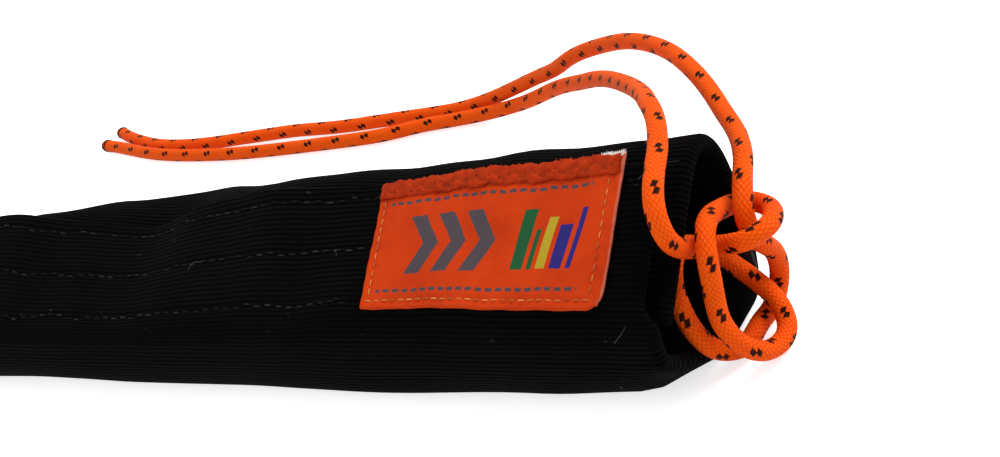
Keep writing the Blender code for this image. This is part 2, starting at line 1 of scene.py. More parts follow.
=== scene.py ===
"""A rope protector sleeve: ribbed canvas wrapped into a tube, its closure flap with hook and loop
tape, a sewn label, and an accessory cord hitched at the mouth.

Metres, +Z up, in the frame of the solids: +X runs along the sleeve to the tied mouth, and the
closure's fold is on the -Y side. Every surface is worked out as whole arrays on a grid.
"""

import logging
import math
from collections.abc import Sequence
from dataclasses import dataclass, field
from enum import Enum
from functools import reduce

import bpy
import numpy as np
from mathutils import Matrix, Vector


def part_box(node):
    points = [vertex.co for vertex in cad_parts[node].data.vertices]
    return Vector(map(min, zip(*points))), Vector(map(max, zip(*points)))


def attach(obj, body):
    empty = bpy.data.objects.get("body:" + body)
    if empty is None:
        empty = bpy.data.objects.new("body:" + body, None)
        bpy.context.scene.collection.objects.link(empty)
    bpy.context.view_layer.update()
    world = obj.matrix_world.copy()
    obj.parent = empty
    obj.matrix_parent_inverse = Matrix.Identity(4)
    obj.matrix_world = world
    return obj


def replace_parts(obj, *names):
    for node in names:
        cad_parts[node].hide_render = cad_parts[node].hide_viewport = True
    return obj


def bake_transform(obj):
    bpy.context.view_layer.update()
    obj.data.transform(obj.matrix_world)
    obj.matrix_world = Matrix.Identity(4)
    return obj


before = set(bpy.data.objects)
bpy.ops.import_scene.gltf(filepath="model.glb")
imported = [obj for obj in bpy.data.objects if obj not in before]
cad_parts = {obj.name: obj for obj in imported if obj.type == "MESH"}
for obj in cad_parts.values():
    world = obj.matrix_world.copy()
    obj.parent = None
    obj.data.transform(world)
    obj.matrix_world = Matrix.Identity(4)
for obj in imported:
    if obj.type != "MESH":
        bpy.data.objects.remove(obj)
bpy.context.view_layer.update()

Array = np.ndarray
Colour = tuple[float, float, float]
Place = tuple[float, float, float]
Route = tuple[tuple[float, ...], ...]
Socket = bpy.types.NodeSocket
Value = Socket | float
Object = bpy.types.Object
Material = bpy.types.Material

MAP_SCALE = 10.0
"""Surface maps are in tenths of a metre: one unit of the map is 100 mm."""

PLAITS, SLANT = 12, 0.85
"""The braid's strands round the cord one way, and how far they turn for each step along it."""

TURN = 2 * math.pi
"""A full turn, in radians."""

log = logging.getLogger("sleeve")


class Body(Enum):
    """The rigid bodies that pieces ride on."""

    SLEEVE = "sleeve"
    FLAP = "flap"


class Slot(Enum):
    """The record's material slots."""

    CANVAS = "canvas"
    FLAP_CANVAS = "flap_canvas"
    HOOK = "hook"
    LOOP = "loop"
    LABEL = "label_cloth"
    WEBBING = "webbing"
    CORD = "cord"


class Ink(Enum):
    """The colours of the label's print."""

    GREY = (0.072, 0.064, 0.076)
    GREEN = (0.004, 0.100, 0.038)
    YELLOW = (0.46, 0.35, 0.025)
    BLUE = (0.016, 0.022, 0.19)


# Arrays


def smoothstep(t: Array) -> Array:
    """The easing 3t^2 - 2t^3 of t held between 0 and 1."""
    t = np.clip(t, 0.0, 1.0)
    return t * t * (3 - 2 * t)


def unit(v: Array) -> Array:
    """The vectors along the last axis, brought to length 1."""
    return v / np.maximum(np.linalg.norm(v, axis=-1, keepdims=True), 1e-12)


def hermite(start: Array, leave: Array, end: Array, arrive: Array,
            pulls: Sequence[float | Array], t: Array) -> Array:
    """Cubic curves between two rows of points, one curve for each row.

    The curve is h00 start + h10 c leave + h01 end + h11 c arrive, with the usual four cubics in t
    and c the chord times the pull of that end.

    Args:
        start, end: the ends, shape (rows, 2).
        leave, arrive: unit ways at the ends, shape (rows, 2) or (2,).
        pulls: the pull at the start and at the end, as shares of the chord: numbers or one
            value for each row.
        t: places along the curve from 0 to 1, shape (count,).

    Returns:
        Points of shape (rows, count, 2).
    """
    chord = np.linalg.norm(end - start, axis=-1)[:, None, None]
    t = t[None, :, None]
    first, second = (np.reshape(pull, (-1, 1, 1)) for pull in pulls)
    leave = np.broadcast_to(leave, start.shape)[:, None] * chord * first
    arrive = np.broadcast_to(arrive, end.shape)[:, None] * chord * second
    return (
        (2 * t**3 - 3 * t**2 + 1) * start[:, None]
        + (t**3 - 2 * t**2 + t) * leave
        + (3 * t**2 - 2 * t**3) * end[:, None]
        + (t**3 - t**2) * arrive
    )


def bell(distance: Array, width: float) -> Array:
    """The bell curve exp(-(distance / width)^2)."""
    return np.exp(-((distance / width) ** 2))


def grid_numbers(rows: int, columns: int) -> tuple[Array, Array]:
    """The row and the column of each cell of a grid, as two flat arrays."""
    i, j = np.meshgrid(np.arange(rows), np.arange(columns), indexing="ij")
    return i.ravel(), j.ravel()


def circle(sides: int) -> tuple[Array, Array]:
    """The cosine and the sine at even places round a circle, each of shape (sides, 1)."""
    angle = np.arange(sides)[:, None] / sides * TURN
    return np.cos(angle), np.sin(angle)


def inward(lines: Array) -> Array:
    """Unit normals of lines in the (y, z) plane, to the right of the way they run.

    Args:
        lines: points of shape (rows, count, 2).

    Returns:
        Normals of the same shape. The way is the central difference along each line.
    """
    way = unit(np.gradient(lines, axis=1))
    return np.stack([way[..., 1], -way[..., 0]], axis=-1)


def distances(line: Array) -> Array:
    """Distance along a polyline of shape (count, n) at each of its points."""
    steps = np.linalg.norm(np.diff(line, axis=0), axis=-1)
    return np.concatenate([[0.0], np.cumsum(steps)])


def spaced(line: Array, step: float) -> Array:
    """The polyline again, with points an even distance of about a step apart.

    Args:
        line: points of shape (count, n).
        step: the distance wanted.

    Returns:
        Points of shape (m, n).
    """
    along = distances(line)
    at = np.linspace(0.0, along[-1], max(2, round(along[-1] / step)) + 1)
    return np.stack([np.interp(at, along, line[:, k]) for k in range(line.shape[1])], axis=1)


def natural_spline(points: Array, step: float) -> Array:
    """The natural cubic spline through the points, its knots by the root of the chords.

    Args:
        points: the points it goes through, shape (count, 3).
        step: the distance between the points given back.

    Returns:
        Points of shape (n, 3), evenly spaced.
    """
    points = np.asarray(points, float)
    chords = np.linalg.norm(np.diff(points, axis=0), axis=1) ** 0.5
    knots = np.concatenate([[0.0], np.cumsum(chords)])
    gaps = np.diff(knots)
    count = len(points)
    slopes = np.diff(points, axis=0) / gaps[:, None]
    inner = np.arange(1, count - 1)
    matrix = np.eye(count)
    matrix[inner, inner - 1] = gaps[:-1]
    matrix[inner, inner] = 2 * (gaps[:-1] + gaps[1:])
    matrix[inner, inner + 1] = gaps[1:]
    right = np.zeros((count, 3))
    right[1:-1] = 6 * np.diff(slopes, axis=0)
    bends = np.linalg.solve(matrix, right)
    samples = 40 * count
    t = np.linspace(0.0, knots[-1], samples)
    k = np.clip(np.searchsorted(knots, t) - 1, 0, count - 2)
    a = ((knots[k + 1] - t) / gaps[k])[:, None]
    b = 1 - a
    bow = ((a**3 - a) * bends[k] + (b**3 - b) * bends[k + 1]) * (gaps[k] ** 2)[:, None] / 6
    return spaced(a * points[k] + b * points[k + 1] + bow, step)


def ripple(x: Array, waves: Sequence[tuple[float, float, float]]) -> Array:
    """A sum of sines: for each wave its height times sin(2 pi (x / length + phase)).

    Args:
        x: the places, of any shape.
        waves: the height, the length and the phase of each wave.

    Returns:
        The sum at each place.
    """
    total = np.zeros_like(x)
    for height, length, phase in waves:
        total += height * np.sin(TURN * (x / length + phase))
    return total


# Meshes


@dataclass
class Patch:
    """One grid of points with its faces: rows by columns, open or closed round the columns.

    Attributes:
        points: shape (rows, columns, 3).
        u: map coordinate of each row, in metres.
        v: map coordinate of each column, in metres, one more where it is closed round.
        around: whether the last column joins the first.
    """

    points: Array
    u: Array
    v: Array
    around: bool = False

    def faces(self) -> tuple[Array, Array]:
        """The quads of the grid.

        Returns:
            The quads as point numbers, shape (faces, 4), and the map places of their corners,
            shape (faces, 4, 2).
        """
        rows, columns = self.points.shape[:2]
        last = columns if self.around else columns - 1
        i, j = grid_numbers(rows - 1, last)
        corner_i = np.stack([i, i, i + 1, i + 1], axis=1)
        corner_j = np.stack([j, j + 1, j + 1, j], axis=1)
        places = np.stack([self.u[corner_i], self.v[corner_j]], axis=-1) * MAP_SCALE
        return corner_i * columns + corner_j % columns, places


def mesh_object(name: str, points: Array, quads: Array, places: Array | None = None,
                triangles: Array | None = None, shade: Array | None = None) -> Object:
    """An object with a smooth mesh made from whole arrays.

    Args:
        name: the piece's name.
        points: shape (n, 3), in metres.
        quads: point numbers of shape (faces, 4).
        places: map coordinates of the quads' corners, shape (faces, 4, 2).
        triangles: more faces, of shape (faces, 3), which get no map.
        shade: a value for each point, kept as the attribute "shade".

    Returns:
        The linked object.
    """
    faces = quads.tolist()
    if triangles is not None:
        faces += triangles.tolist()
    mesh = bpy.data.meshes.new(name)
    mesh.from_pydata(points.reshape(-1, 3), [], faces)
    if places is not None:
        values = np.zeros((len(mesh.loops), 2), np.float32)
        values[: places.size // 2] = places.reshape(-1, 2)
        mesh.uv_layers.new(name="surface").data.foreach_set("uv", values.ravel())
    if shade is not None:
        layer = mesh.attributes.new("shade", "FLOAT", "POINT")
        layer.data.foreach_set("value", np.asarray(shade, np.float32).ravel())
    mesh.update()
    mesh.shade_smooth()
    item = bpy.data.objects.new(name, mesh)
    bpy.context.scene.collection.objects.link(item)
    return item


def slab(name: str, outer: Array, inner: Array, u: Array, v: Array) -> Object:
    """A closed sheet with a thickness, between an outer and an inner grid.

    The rims are rounded: the middle of each rim stands out by a third of the thickness.

    Args:
        name: the piece's name.
        outer, inner: the two faces, shape (rows, columns, 3).
        u, v: map coordinates of the rows and the columns, in metres.

    Returns:
        The linked object. Its map runs on over the rims and the inner face.
    """
    def rim(a: Array, b: Array, beyond: Array) -> Array:
        """The middle of a rim between the edges a and b, stood out away from beyond."""
        out = unit(a - beyond) * np.linalg.norm(a - b, axis=-1, keepdims=True) / 3
        return (a + b) / 2 + out

    first = rim(outer[:, 0], inner[:, 0], outer[:, 1])
    last = rim(outer[:, -1], inner[:, -1], outer[:, -2])
    ring = np.concatenate([outer, last[:, None], inner[:, ::-1], first[:, None]], axis=1)
    wall = float(np.linalg.norm(outer[0, 0] - inner[0, 0]))
    v_ring = np.concatenate([v, [v[-1] + wall / 2], v[::-1] + wall, [v[0] + wall], [v[0]]])
    columns = outer.shape[1]
    start = rim(outer[0], inner[0], outer[1])
    end = rim(outer[-1], inner[-1], outer[-2])
    rows, around = ring.shape[:2]
    patch = Patch(ring, u, v_ring, around=True)
    quads, places = patch.faces()
    points = [ring.reshape(-1, 3), start, end]
    base = rows * around
    j = np.arange(columns - 1)
    extra, extra_places = [], []
    for row, at, flip in ((0, base, False), (rows - 1, base + columns, True)):
        ring_row = row * around
        outer_edge = np.stack([ring_row + j, at + j, at + j + 1, ring_row + j + 1], axis=1)
        back = ring_row + 2 * columns - j
        inner_edge = np.stack([at + j, back, back - 1, at + j + 1], axis=1)
        tips = np.array([
            [ring_row, ring_row + 2 * columns + 1, ring_row + 2 * columns, at],
            [ring_row + columns - 1, at + columns - 1, ring_row + columns + 1,
             ring_row + columns],
        ])
        block = np.concatenate([outer_edge, inner_edge, tips])
        extra.append(block[:, ::-1] if flip else block)
        place_v = np.concatenate([v[j], v[j], v[[0]], v[[-1]]])
        spot = np.stack([np.full(len(block), u[row]), place_v], axis=1)
        extra_places.append(np.repeat(spot[:, None] * MAP_SCALE, 4, axis=1))
    quads = np.concatenate([quads, *extra])
    places = np.concatenate([places, *extra_places])
    return mesh_object(name, np.concatenate(points), quads, places)


def tube_rings(line: Array, radius: Array) -> Array:
    """Rings round a path, with a frame carried along it without twist.

    Each ring is the path's point plus radius (cos a * first + sin a * second), where the two
    vectors are turned from one point to the next by the least rotation.

    Args:
        line: the path, shape (rows, 3).
        radius: shape (rows, sides), the distance of each point from the path.

    Returns:
        The rings, shape (rows, sides, 3).
    """
    way = unit(np.gradient(line, axis=0))
    first = np.empty_like(way)
    side = np.cross(way[0], [0.0, 0.0, 1.0])
    nearly_upright = 0.2
    if np.linalg.norm(side) < nearly_upright:
        side = np.cross(way[0], [0.0, 1.0, 0.0])
    first[0] = unit(side)
    for k in range(1, len(way)):
        first[k] = unit(first[k - 1] - way[k] * (first[k - 1] @ way[k]))
    second = np.cross(way, first)
    cosine, sine = circle(radius.shape[1])
    turn = cosine * first[:, None] + sine * second[:, None]
    return line[:, None] + turn * radius[..., None]


def closed_tube(name: str, line: Array, rings: Array, along: Array, girth: float) -> Object:
    """A tube whose two ends are closed by fans round the path's end points.

    Args:
        name: the piece's name.
        line: the path, shape (rows, 3).
        rings: the points round it, shape (rows, sides, 3).
        along: the map coordinate of each ring, in metres.
        girth: how far the map runs round the tube.

    Returns:
        The linked object.
    """
    rows, sides = rings.shape[:2]
    quads, places = Patch(rings, along, np.linspace(0.0, girth, sides + 1), around=True).faces()
    points = np.concatenate([rings.reshape(-1, 3), line[[0]], line[[-1]]])
    j = np.arange(sides)
    k = (j + 1) % sides
    base, last = rows * sides, (rows - 1) * sides
    first_fan = np.stack([np.full_like(j, base), j, k], axis=1)
    last_fan = np.stack([np.full_like(j, base + 1), last + k, last + j], axis=1)
    return mesh_object(name, points, quads[:, ::-1], places[:, ::-1],
                       np.concatenate([first_fan, last_fan]))


def end_polygons(rows: int, sides: int) -> Array:
    """Triangles over a thin tube's first and last ring, of shape (2 (sides - 2), 3)."""
    fan = np.stack([np.zeros(sides - 2, int), np.arange(1, sides - 1), np.arange(2, sides)], 1)
    return np.concatenate([fan, (fan + (rows - 1) * sides)[:, ::-1]])


@dataclass(frozen=True)
class Fibres:
    """Short threads, each arched up from the surface and sunk at its ends.

    Attributes:
        radius: a thread's radius in its middle.
        arch: how high its middle stands above its ends.
        sink: the height of its ends above the surface, below it where negative.
        rings, sides: points along and round it.
    """

    radius: float
    arch: float
    sink: float
    rings: int = 5
    sides: int = 6

    def build(self, name: str, starts: Array, ways: Array, normals: Array,
              lengths: Array | float, shade: Array) -> Object:
        """Many threads in one mesh.

        A thread's middle line is start + (t - 0.5) length way + (sink + arch hump^0.6) normal
        for t from 0 to 1, where the hump is 4 t (1 - t). Its radius at t is the radius times
        0.55 + 0.45 hump^0.5.

        Args:
            name: the piece's name.
            starts: the middle of each thread on the surface, shape (n, 3).
            ways, normals: the way each runs, and away from the surface, shape (n, 3).
            lengths: their lengths, shape (n,) or one number.
            shade: a value for each thread, shape (n,).

        Returns:
            The linked object.
        """
        count, rings, sides = len(starts), self.rings, self.sides
        t = np.linspace(0.0, 1.0, rings)
        hump = 4 * t * (1 - t)
        lengths = np.broadcast_to(lengths, count)[:, None, None]
        middle = (
            starts[:, None]
            + ways[:, None] * ((t - 0.5)[None, :, None] * lengths)
            + normals[:, None] * (self.sink + self.arch * hump**0.6)[None, :, None]
        )
        side = unit(np.cross(ways, normals))
        cosine, sine = circle(sides)
        slim = self.radius * (0.55 + 0.45 * hump**0.5)
        turn = cosine * side[:, None] + sine * normals[:, None]
        points = middle[:, :, None] + turn[:, None] * slim[None, :, None, None]
        i, j = grid_numbers(rings - 1, sides)
        k = (j + 1) % sides
        one = np.stack([i * sides + j, (i + 1) * sides + j, (i + 1) * sides + k, i * sides + k], 1)
        shift = np.arange(count)[:, None, None] * rings * sides
        quads = (one[None] + shift).reshape(-1, 4)
        triangles = (end_polygons(rings, sides)[None] + shift).reshape(-1, 3)
        return mesh_object(name, points.reshape(-1, 3), quads, None, triangles,
                           np.repeat(shade, rings * sides))


# Finishes


class Graph:
    """The nodes of a material or of the world, with short calls that make and link them."""

    def __init__(self, owner: str | bpy.types.World, shader: str = "Principled BSDF") -> None:
        """Start the nodes.

        Args:
            owner: the name of a new material, or the world.
            shader: the name of the shader that it comes with.
        """
        owner = bpy.data.materials.new(owner) if isinstance(owner, str) else owner
        self.owner = owner
        owner.use_nodes = True
        self.tree = owner.node_tree
        self.shader = self.tree.nodes[shader]

    def node(self, kind: str, **values: object) -> bpy.types.Node:
        """A new node.

        Args:
            kind: the node's type.
            values: some of its properties.

        Returns:
            The node.
        """
        made = self.tree.nodes.new(kind)
        for key, value in values.items():
            setattr(made, key, value)
        return made

    def put(self, value: Value | Sequence[float], socket: Socket) -> None:
        """Link a socket, or write a constant, into an input.

        Args:
            value: the socket or the constant.
            socket: the input.
        """
        if isinstance(value, bpy.types.NodeSocket):
            self.tree.links.new(value, socket)
        else:
            socket.default_value = value

    def math(self, operation: str, a: Value, b: Value = 0.0,
             c: Value = 0.0) -> Socket:
        """One step of arithmetic.

        Args:
            operation: its name.
            a, b, c: what it works on; most steps leave c out.

        Returns:
            The result.
        """
        made = self.node("ShaderNodeMath", operation=operation)
        for value, socket in zip((a, b, c), made.inputs):
            self.put(value, socket)
        return made.outputs[0]

    def chain(self, operation: str, terms: Sequence[Value]) -> Socket:
        """The terms taken together one after another by the same operation."""
        return reduce(lambda first, second: self.math(operation, first, second), terms)

    def total(self, *terms: Value) -> Socket:
        """The sum of the terms."""
        return self.chain("ADD", terms)

    def product(self, *terms: Value) -> Socket:
        """The product of the terms."""
        return self.chain("MULTIPLY", terms)

    def largest(self, *terms: Value) -> Socket:
        """The largest of the terms."""
        return self.chain("MAXIMUM", terms)

    def off(self, a: Value, b: Value) -> Socket:
        """How far a and b are apart: |a - b|."""
        return self.math("ABSOLUTE", self.math("SUBTRACT", a, b))

    def inside(self, distance: Socket, edge: float, soft: float) -> Socket:
        """1 where the distance is under the edge and 0 above it, eased by soft on both sides."""
        return self.ramp(distance, edge + soft, edge - soft)

    def repeat(self, value: Socket, pitch: float, phase: float) -> Socket:
        """The value from the middle of its own pitch, from -pitch / 2 to pitch / 2."""
        turn = self.math("FRACT", self.total(self.math("DIVIDE", value, pitch), phase))
        return self.product(self.math("SUBTRACT", turn, 0.5), pitch)

    def ramp(self, value: Socket, low: float, high: float) -> Socket:
        """A smooth step.

        Args:
            value: the value looked at.
            low, high: where the result is 0 and where it is 1; high may be the lower one.

        Returns:
            The step, from 0 to 1.
        """
        made = self.node("ShaderNodeMapRange", interpolation_type="SMOOTHSTEP")
        for key, number in (("Value", value), ("From Min", low), ("From Max", high)):
            self.put(number, made.inputs[key])
        return made.outputs["Result"]

    def mix(self, share: Value, a: Socket | Sequence[float],
            b: Socket | Sequence[float]) -> Socket:
        """Two colours mixed.

        Args:
            share: 0 for all a, 1 for all b.
            a, b: the colours.

        Returns:
            The mixed colour.
        """
        made = self.node("ShaderNodeMix", data_type="RGBA")
        self.put(share, made.inputs["Factor"])
        colours = [socket for socket in made.inputs if socket.type == "RGBA"]
        for value, socket in zip((a, b), colours):
            self.put(value if isinstance(value, bpy.types.NodeSocket) else (*value, 1.0), socket)
        return next(socket for socket in made.outputs if socket.type == "RGBA")

    def parts(self, vector: Socket) -> tuple[Socket, ...]:
        """A vector's three numbers."""
        made = self.node("ShaderNodeSeparateXYZ")
        self.put(vector, made.inputs[0])
        return tuple(made.outputs)

    def surface(self) -> tuple[Socket, Socket]:
        """The surface map's two coordinates, in metres."""
        u, v, _ = self.parts(self.node("ShaderNodeUVMap", uv_map="surface").outputs["UV"])
        return self.math("DIVIDE", u, MAP_SCALE), self.math("DIVIDE", v, MAP_SCALE)

    def own_place(self) -> Socket:
        """The piece's own coordinates, in metres."""
        return self.node("ShaderNodeTexCoord").outputs["Object"]

    def noise(self, scale: float, detail: float = 3.0, roughness: float = 0.5,
              stretch: Sequence[float] = (1.0, 1.0, 1.0)) -> Socket:
        """Noise on the piece's own coordinates.

        Args:
            scale, detail, roughness: the noise's own settings.
            stretch: the scale of the coordinates along each axis.

        Returns:
            The noise, from 0 to 1.
        """
        mapping = self.node("ShaderNodeMapping")
        self.put(self.own_place(), mapping.inputs["Vector"])
        self.put(stretch, mapping.inputs["Scale"])
        made = self.node("ShaderNodeTexNoise")
        self.put(mapping.outputs["Vector"], made.inputs["Vector"])
        for key, value in (("Scale", scale), ("Detail", detail), ("Roughness", roughness)):
            self.put(value, made.inputs[key])
        return made.outputs[0]

    def wave(self, value: Socket, pitch: float) -> Socket:
        """Round ridges from 0 to 1 along the value, one for each pitch: |sin|."""
        turns = self.math("MULTIPLY", value, math.pi / pitch)
        return self.math("ABSOLUTE", self.math("SINE", turns))

    def seen(self) -> Socket:
        """1 for rays from the camera, also by way of a reflection or through glass."""
        path = self.node("ShaderNodeLightPath").outputs
        return self.largest(*(path[f"Is {kind} Ray"] for kind in ("Camera", "Glossy",
                                                                 "Transmission")))

    def bump(self, height: Socket, distance: float, strength: float = 1.0,
             under: Socket | None = None) -> Socket:
        """A bumped normal.

        Args:
            height: the height, from 0 to 1.
            distance: how far 1 stands out, in metres.
            strength: how much of it is taken.
            under: the normal that it goes on top of.

        Returns:
            The normal.
        """
        made = self.node("ShaderNodeBump")
        for key, value in (("Strength", strength), ("Distance", distance), ("Height", height)):
            self.put(value, made.inputs[key])
        if under is not None:
            self.put(under, made.inputs["Normal"])
        return made.outputs[0]

    def finish(self, colour: Socket | Sequence[float], roughness: Value,
               normal: Socket | None = None, sheen: float = 0.0,
               sheen_roughness: float = 0.5, specular: float = 0.2) -> Material:
        """Fill in the shader.

        Args:
            colour, roughness, specular: the base colour, the roughness and the specular level.
            normal: the bumped normal.
            sheen, sheen_roughness: the fuzz's weight and roughness.

        Returns:
            The material.
        """
        values = {
            "Base Color": colour if isinstance(colour, bpy.types.NodeSocket) else (*colour, 1.0),
            "Roughness": roughness,
            "Specular IOR Level": specular,
            "Sheen Weight": sheen,
            "Sheen Roughness": sheen_roughness,
        }
        if normal is not None:
            values["Normal"] = normal
        for key, value in values.items():
            self.put(value, self.shader.inputs[key])
        return self.owner


@dataclass(frozen=True)
class RibbedCanvas:
    """Black canvas with fine ribs along the sleeve, fuzzy, with a little lint.

    Attributes:
        name: the material's name.
        dark, light: painted shade between the ribs and a painted highlight on their backs.
        lint: the colour of the lint.
        rib: the distance between two ribs.
        pick: the distance between two cross threads.
        waver: how far the ribs wander.
        sway: how far a rib's back shifts the cross threads.
    """

    name: str
    dark: Colour = (0.0006, 0.0005, 0.0006)
    light: Colour = (0.0046, 0.0038, 0.0042)
    lint: Colour = (0.045, 0.038, 0.055)
    rib: float = 0.00088
    pick: float = 0.00046
    waver: float = 0.0009
    sway: float = 0.00015

    def build(self) -> Material:
        """Ribs and picks on the surface map, fading and lint by noise.

        Returns:
            The material.
        """
        g = Graph(self.name)
        u, v = g.surface()
        waver = g.product(g.math("SUBTRACT", g.noise(55.0, 2.0), 0.5), self.waver)
        rib = g.wave(g.total(v, waver), self.rib)
        pick = g.wave(g.total(u, g.product(rib, self.sway)), self.pick)
        weave = g.total(g.product(rib, 0.72), g.product(pick, g.product(rib, 0.28)))
        fade = g.ramp(g.noise(38.0, 4.0, 0.6), 0.35, 0.72)
        bright = g.product(weave, g.total(0.45, g.product(fade, 0.55)))
        # painted shade in the grooves and a painted highlight on the rib backs, taken from the
        # weave's height; the fade adds random tone
        colour = g.mix(bright, self.dark, self.light)
        lint = g.ramp(g.noise(900.0, 2.0, 0.5, (0.35, 1.0, 1.0)), 0.735, 0.78)
        colour = g.mix(g.product(lint, 0.55), colour, self.lint)
        normal = g.bump(weave, 0.00030, 0.9)
        normal = g.bump(g.noise(2600.0, 2.0), 0.00006, 0.5, normal)
        return g.finish(colour, 0.9, normal, sheen=0.0075, sheen_roughness=0.45, specular=0.015)


@dataclass(frozen=True)
class BraidedSheath:
    """Bright orange braid with four rows of black zigzag ticks along the cord.

    Attributes:
        name: the material's name.
        base, shadow: the colour on the plaits and between them.
        tick: the ticks' colour.
        pitch: the distance between two ticks of a row.
        girth: the distance round the cord.
        step: how far a tick's two cells are stepped sideways from its middle.
        slant: how far a cell leans for each step along the cord.
        rows: the place of each row of ticks along its pitch and round the cord, as shares.
    """

    name: str
    base: Colour = (1.0, 0.152, 0.003)
    shadow: Colour = (0.93, 0.036, 0.001)
    tick: Colour = (0.013, 0.002, 0.001)
    pitch: float = 0.0078
    girth: float = 0.0094
    step: float = 0.00036
    slant: float = -0.42
    rows: Route = ((0.0, 0.125), (0.5, 0.375), (0.0, 0.625), (0.5, 0.875))

    def tick_row(self, g: Graph, u: Socket, v: Socket, phase: float, place: float) -> Socket:
        """A row of ticks: two cells, the second stepped sideways from the first.

        Args:
            g: the nodes.
            u, v: the places along and round the cord.
            phase, place: the row's place along its pitch and round the cord, as shares.

        Returns:
            1 inside a tick, 0 outside.
        """
        along = g.repeat(u, self.pitch, phase)
        across = g.repeat(v, self.girth, 0.5 - place)
        step = g.product(g.math("SIGN", along), self.step)
        near = g.math("ABSOLUTE", g.total(across, step, g.product(along, self.slant)))
        return g.product(g.inside(g.math("ABSOLUTE", along), 0.00102, 0.00014),
                         g.inside(near, 0.00045, 0.00011))

    def build(self) -> Material:
        """Plaits on the surface map, and the ticks.

        The strands run both ways slantwise round the cord, and take turns on top from cell to
        cell of their grid.

        Returns:
            The material.
        """
        g = Graph(self.name)
        u, v = g.surface()
        cell = self.girth / PLAITS
        left, right = (g.total(v, g.product(u, way * SLANT)) for way in (1, -1))
        counted = [g.math("FLOOR", g.math("DIVIDE", value, cell)) for value in (left, right)]
        over = g.math("ROUND", g.product(g.math("FRACT", g.product(g.total(*counted), 0.5)), 2.0))
        waves = g.wave(left, cell), g.wave(right, cell)
        under = g.math("SUBTRACT", 1.0, over)
        across = g.total(g.product(over, waves[0]), g.product(under, waves[1]))
        crossed = g.total(0.45, g.product(*waves, 0.55))
        plait = g.product(g.math("POWER", across, 0.6), crossed)
        strand = g.wave(left, cell / 4)
        bright = g.total(g.product(plait, 0.75), g.product(g.noise(160.0, 3.0, 0.6), 0.35))
        colour = g.mix(bright, self.shadow, self.base)
        ticks = g.largest(*(self.tick_row(g, u, v, *row) for row in self.rows))
        colour = g.mix(g.product(ticks, 0.985), colour, self.tick)
        normal = g.bump(plait, 0.00014, 0.8)
        normal = g.bump(strand, 0.00004, 0.5, normal)
        return g.finish(colour, 0.6, normal, sheen=0.012, sheen_roughness=0.4, specular=0.06)


@dataclass(frozen=True)
class SewnThread:
    """Thin sewing thread, from dark to light by each stitch's own shade."""

    name: str
    dark: Colour
    light: Colour

    def build(self) -> Material:
        """The shade picks the colour, and fine noise gives the twist.

        Returns:
            The material.
        """
        g = Graph(self.name)
        shade = g.node("ShaderNodeAttribute", attribute_name="shade").outputs["Fac"]
        worn = g.total(g.product(shade, 0.85), g.product(g.noise(1400.0), 0.3))
        normal = g.bump(g.noise(3500.0, 1.0), 0.00005, 0.8)
        return g.finish(g.mix(worn, self.dark, self.light), 0.8, normal, sheen=0.008, specular=0.05)


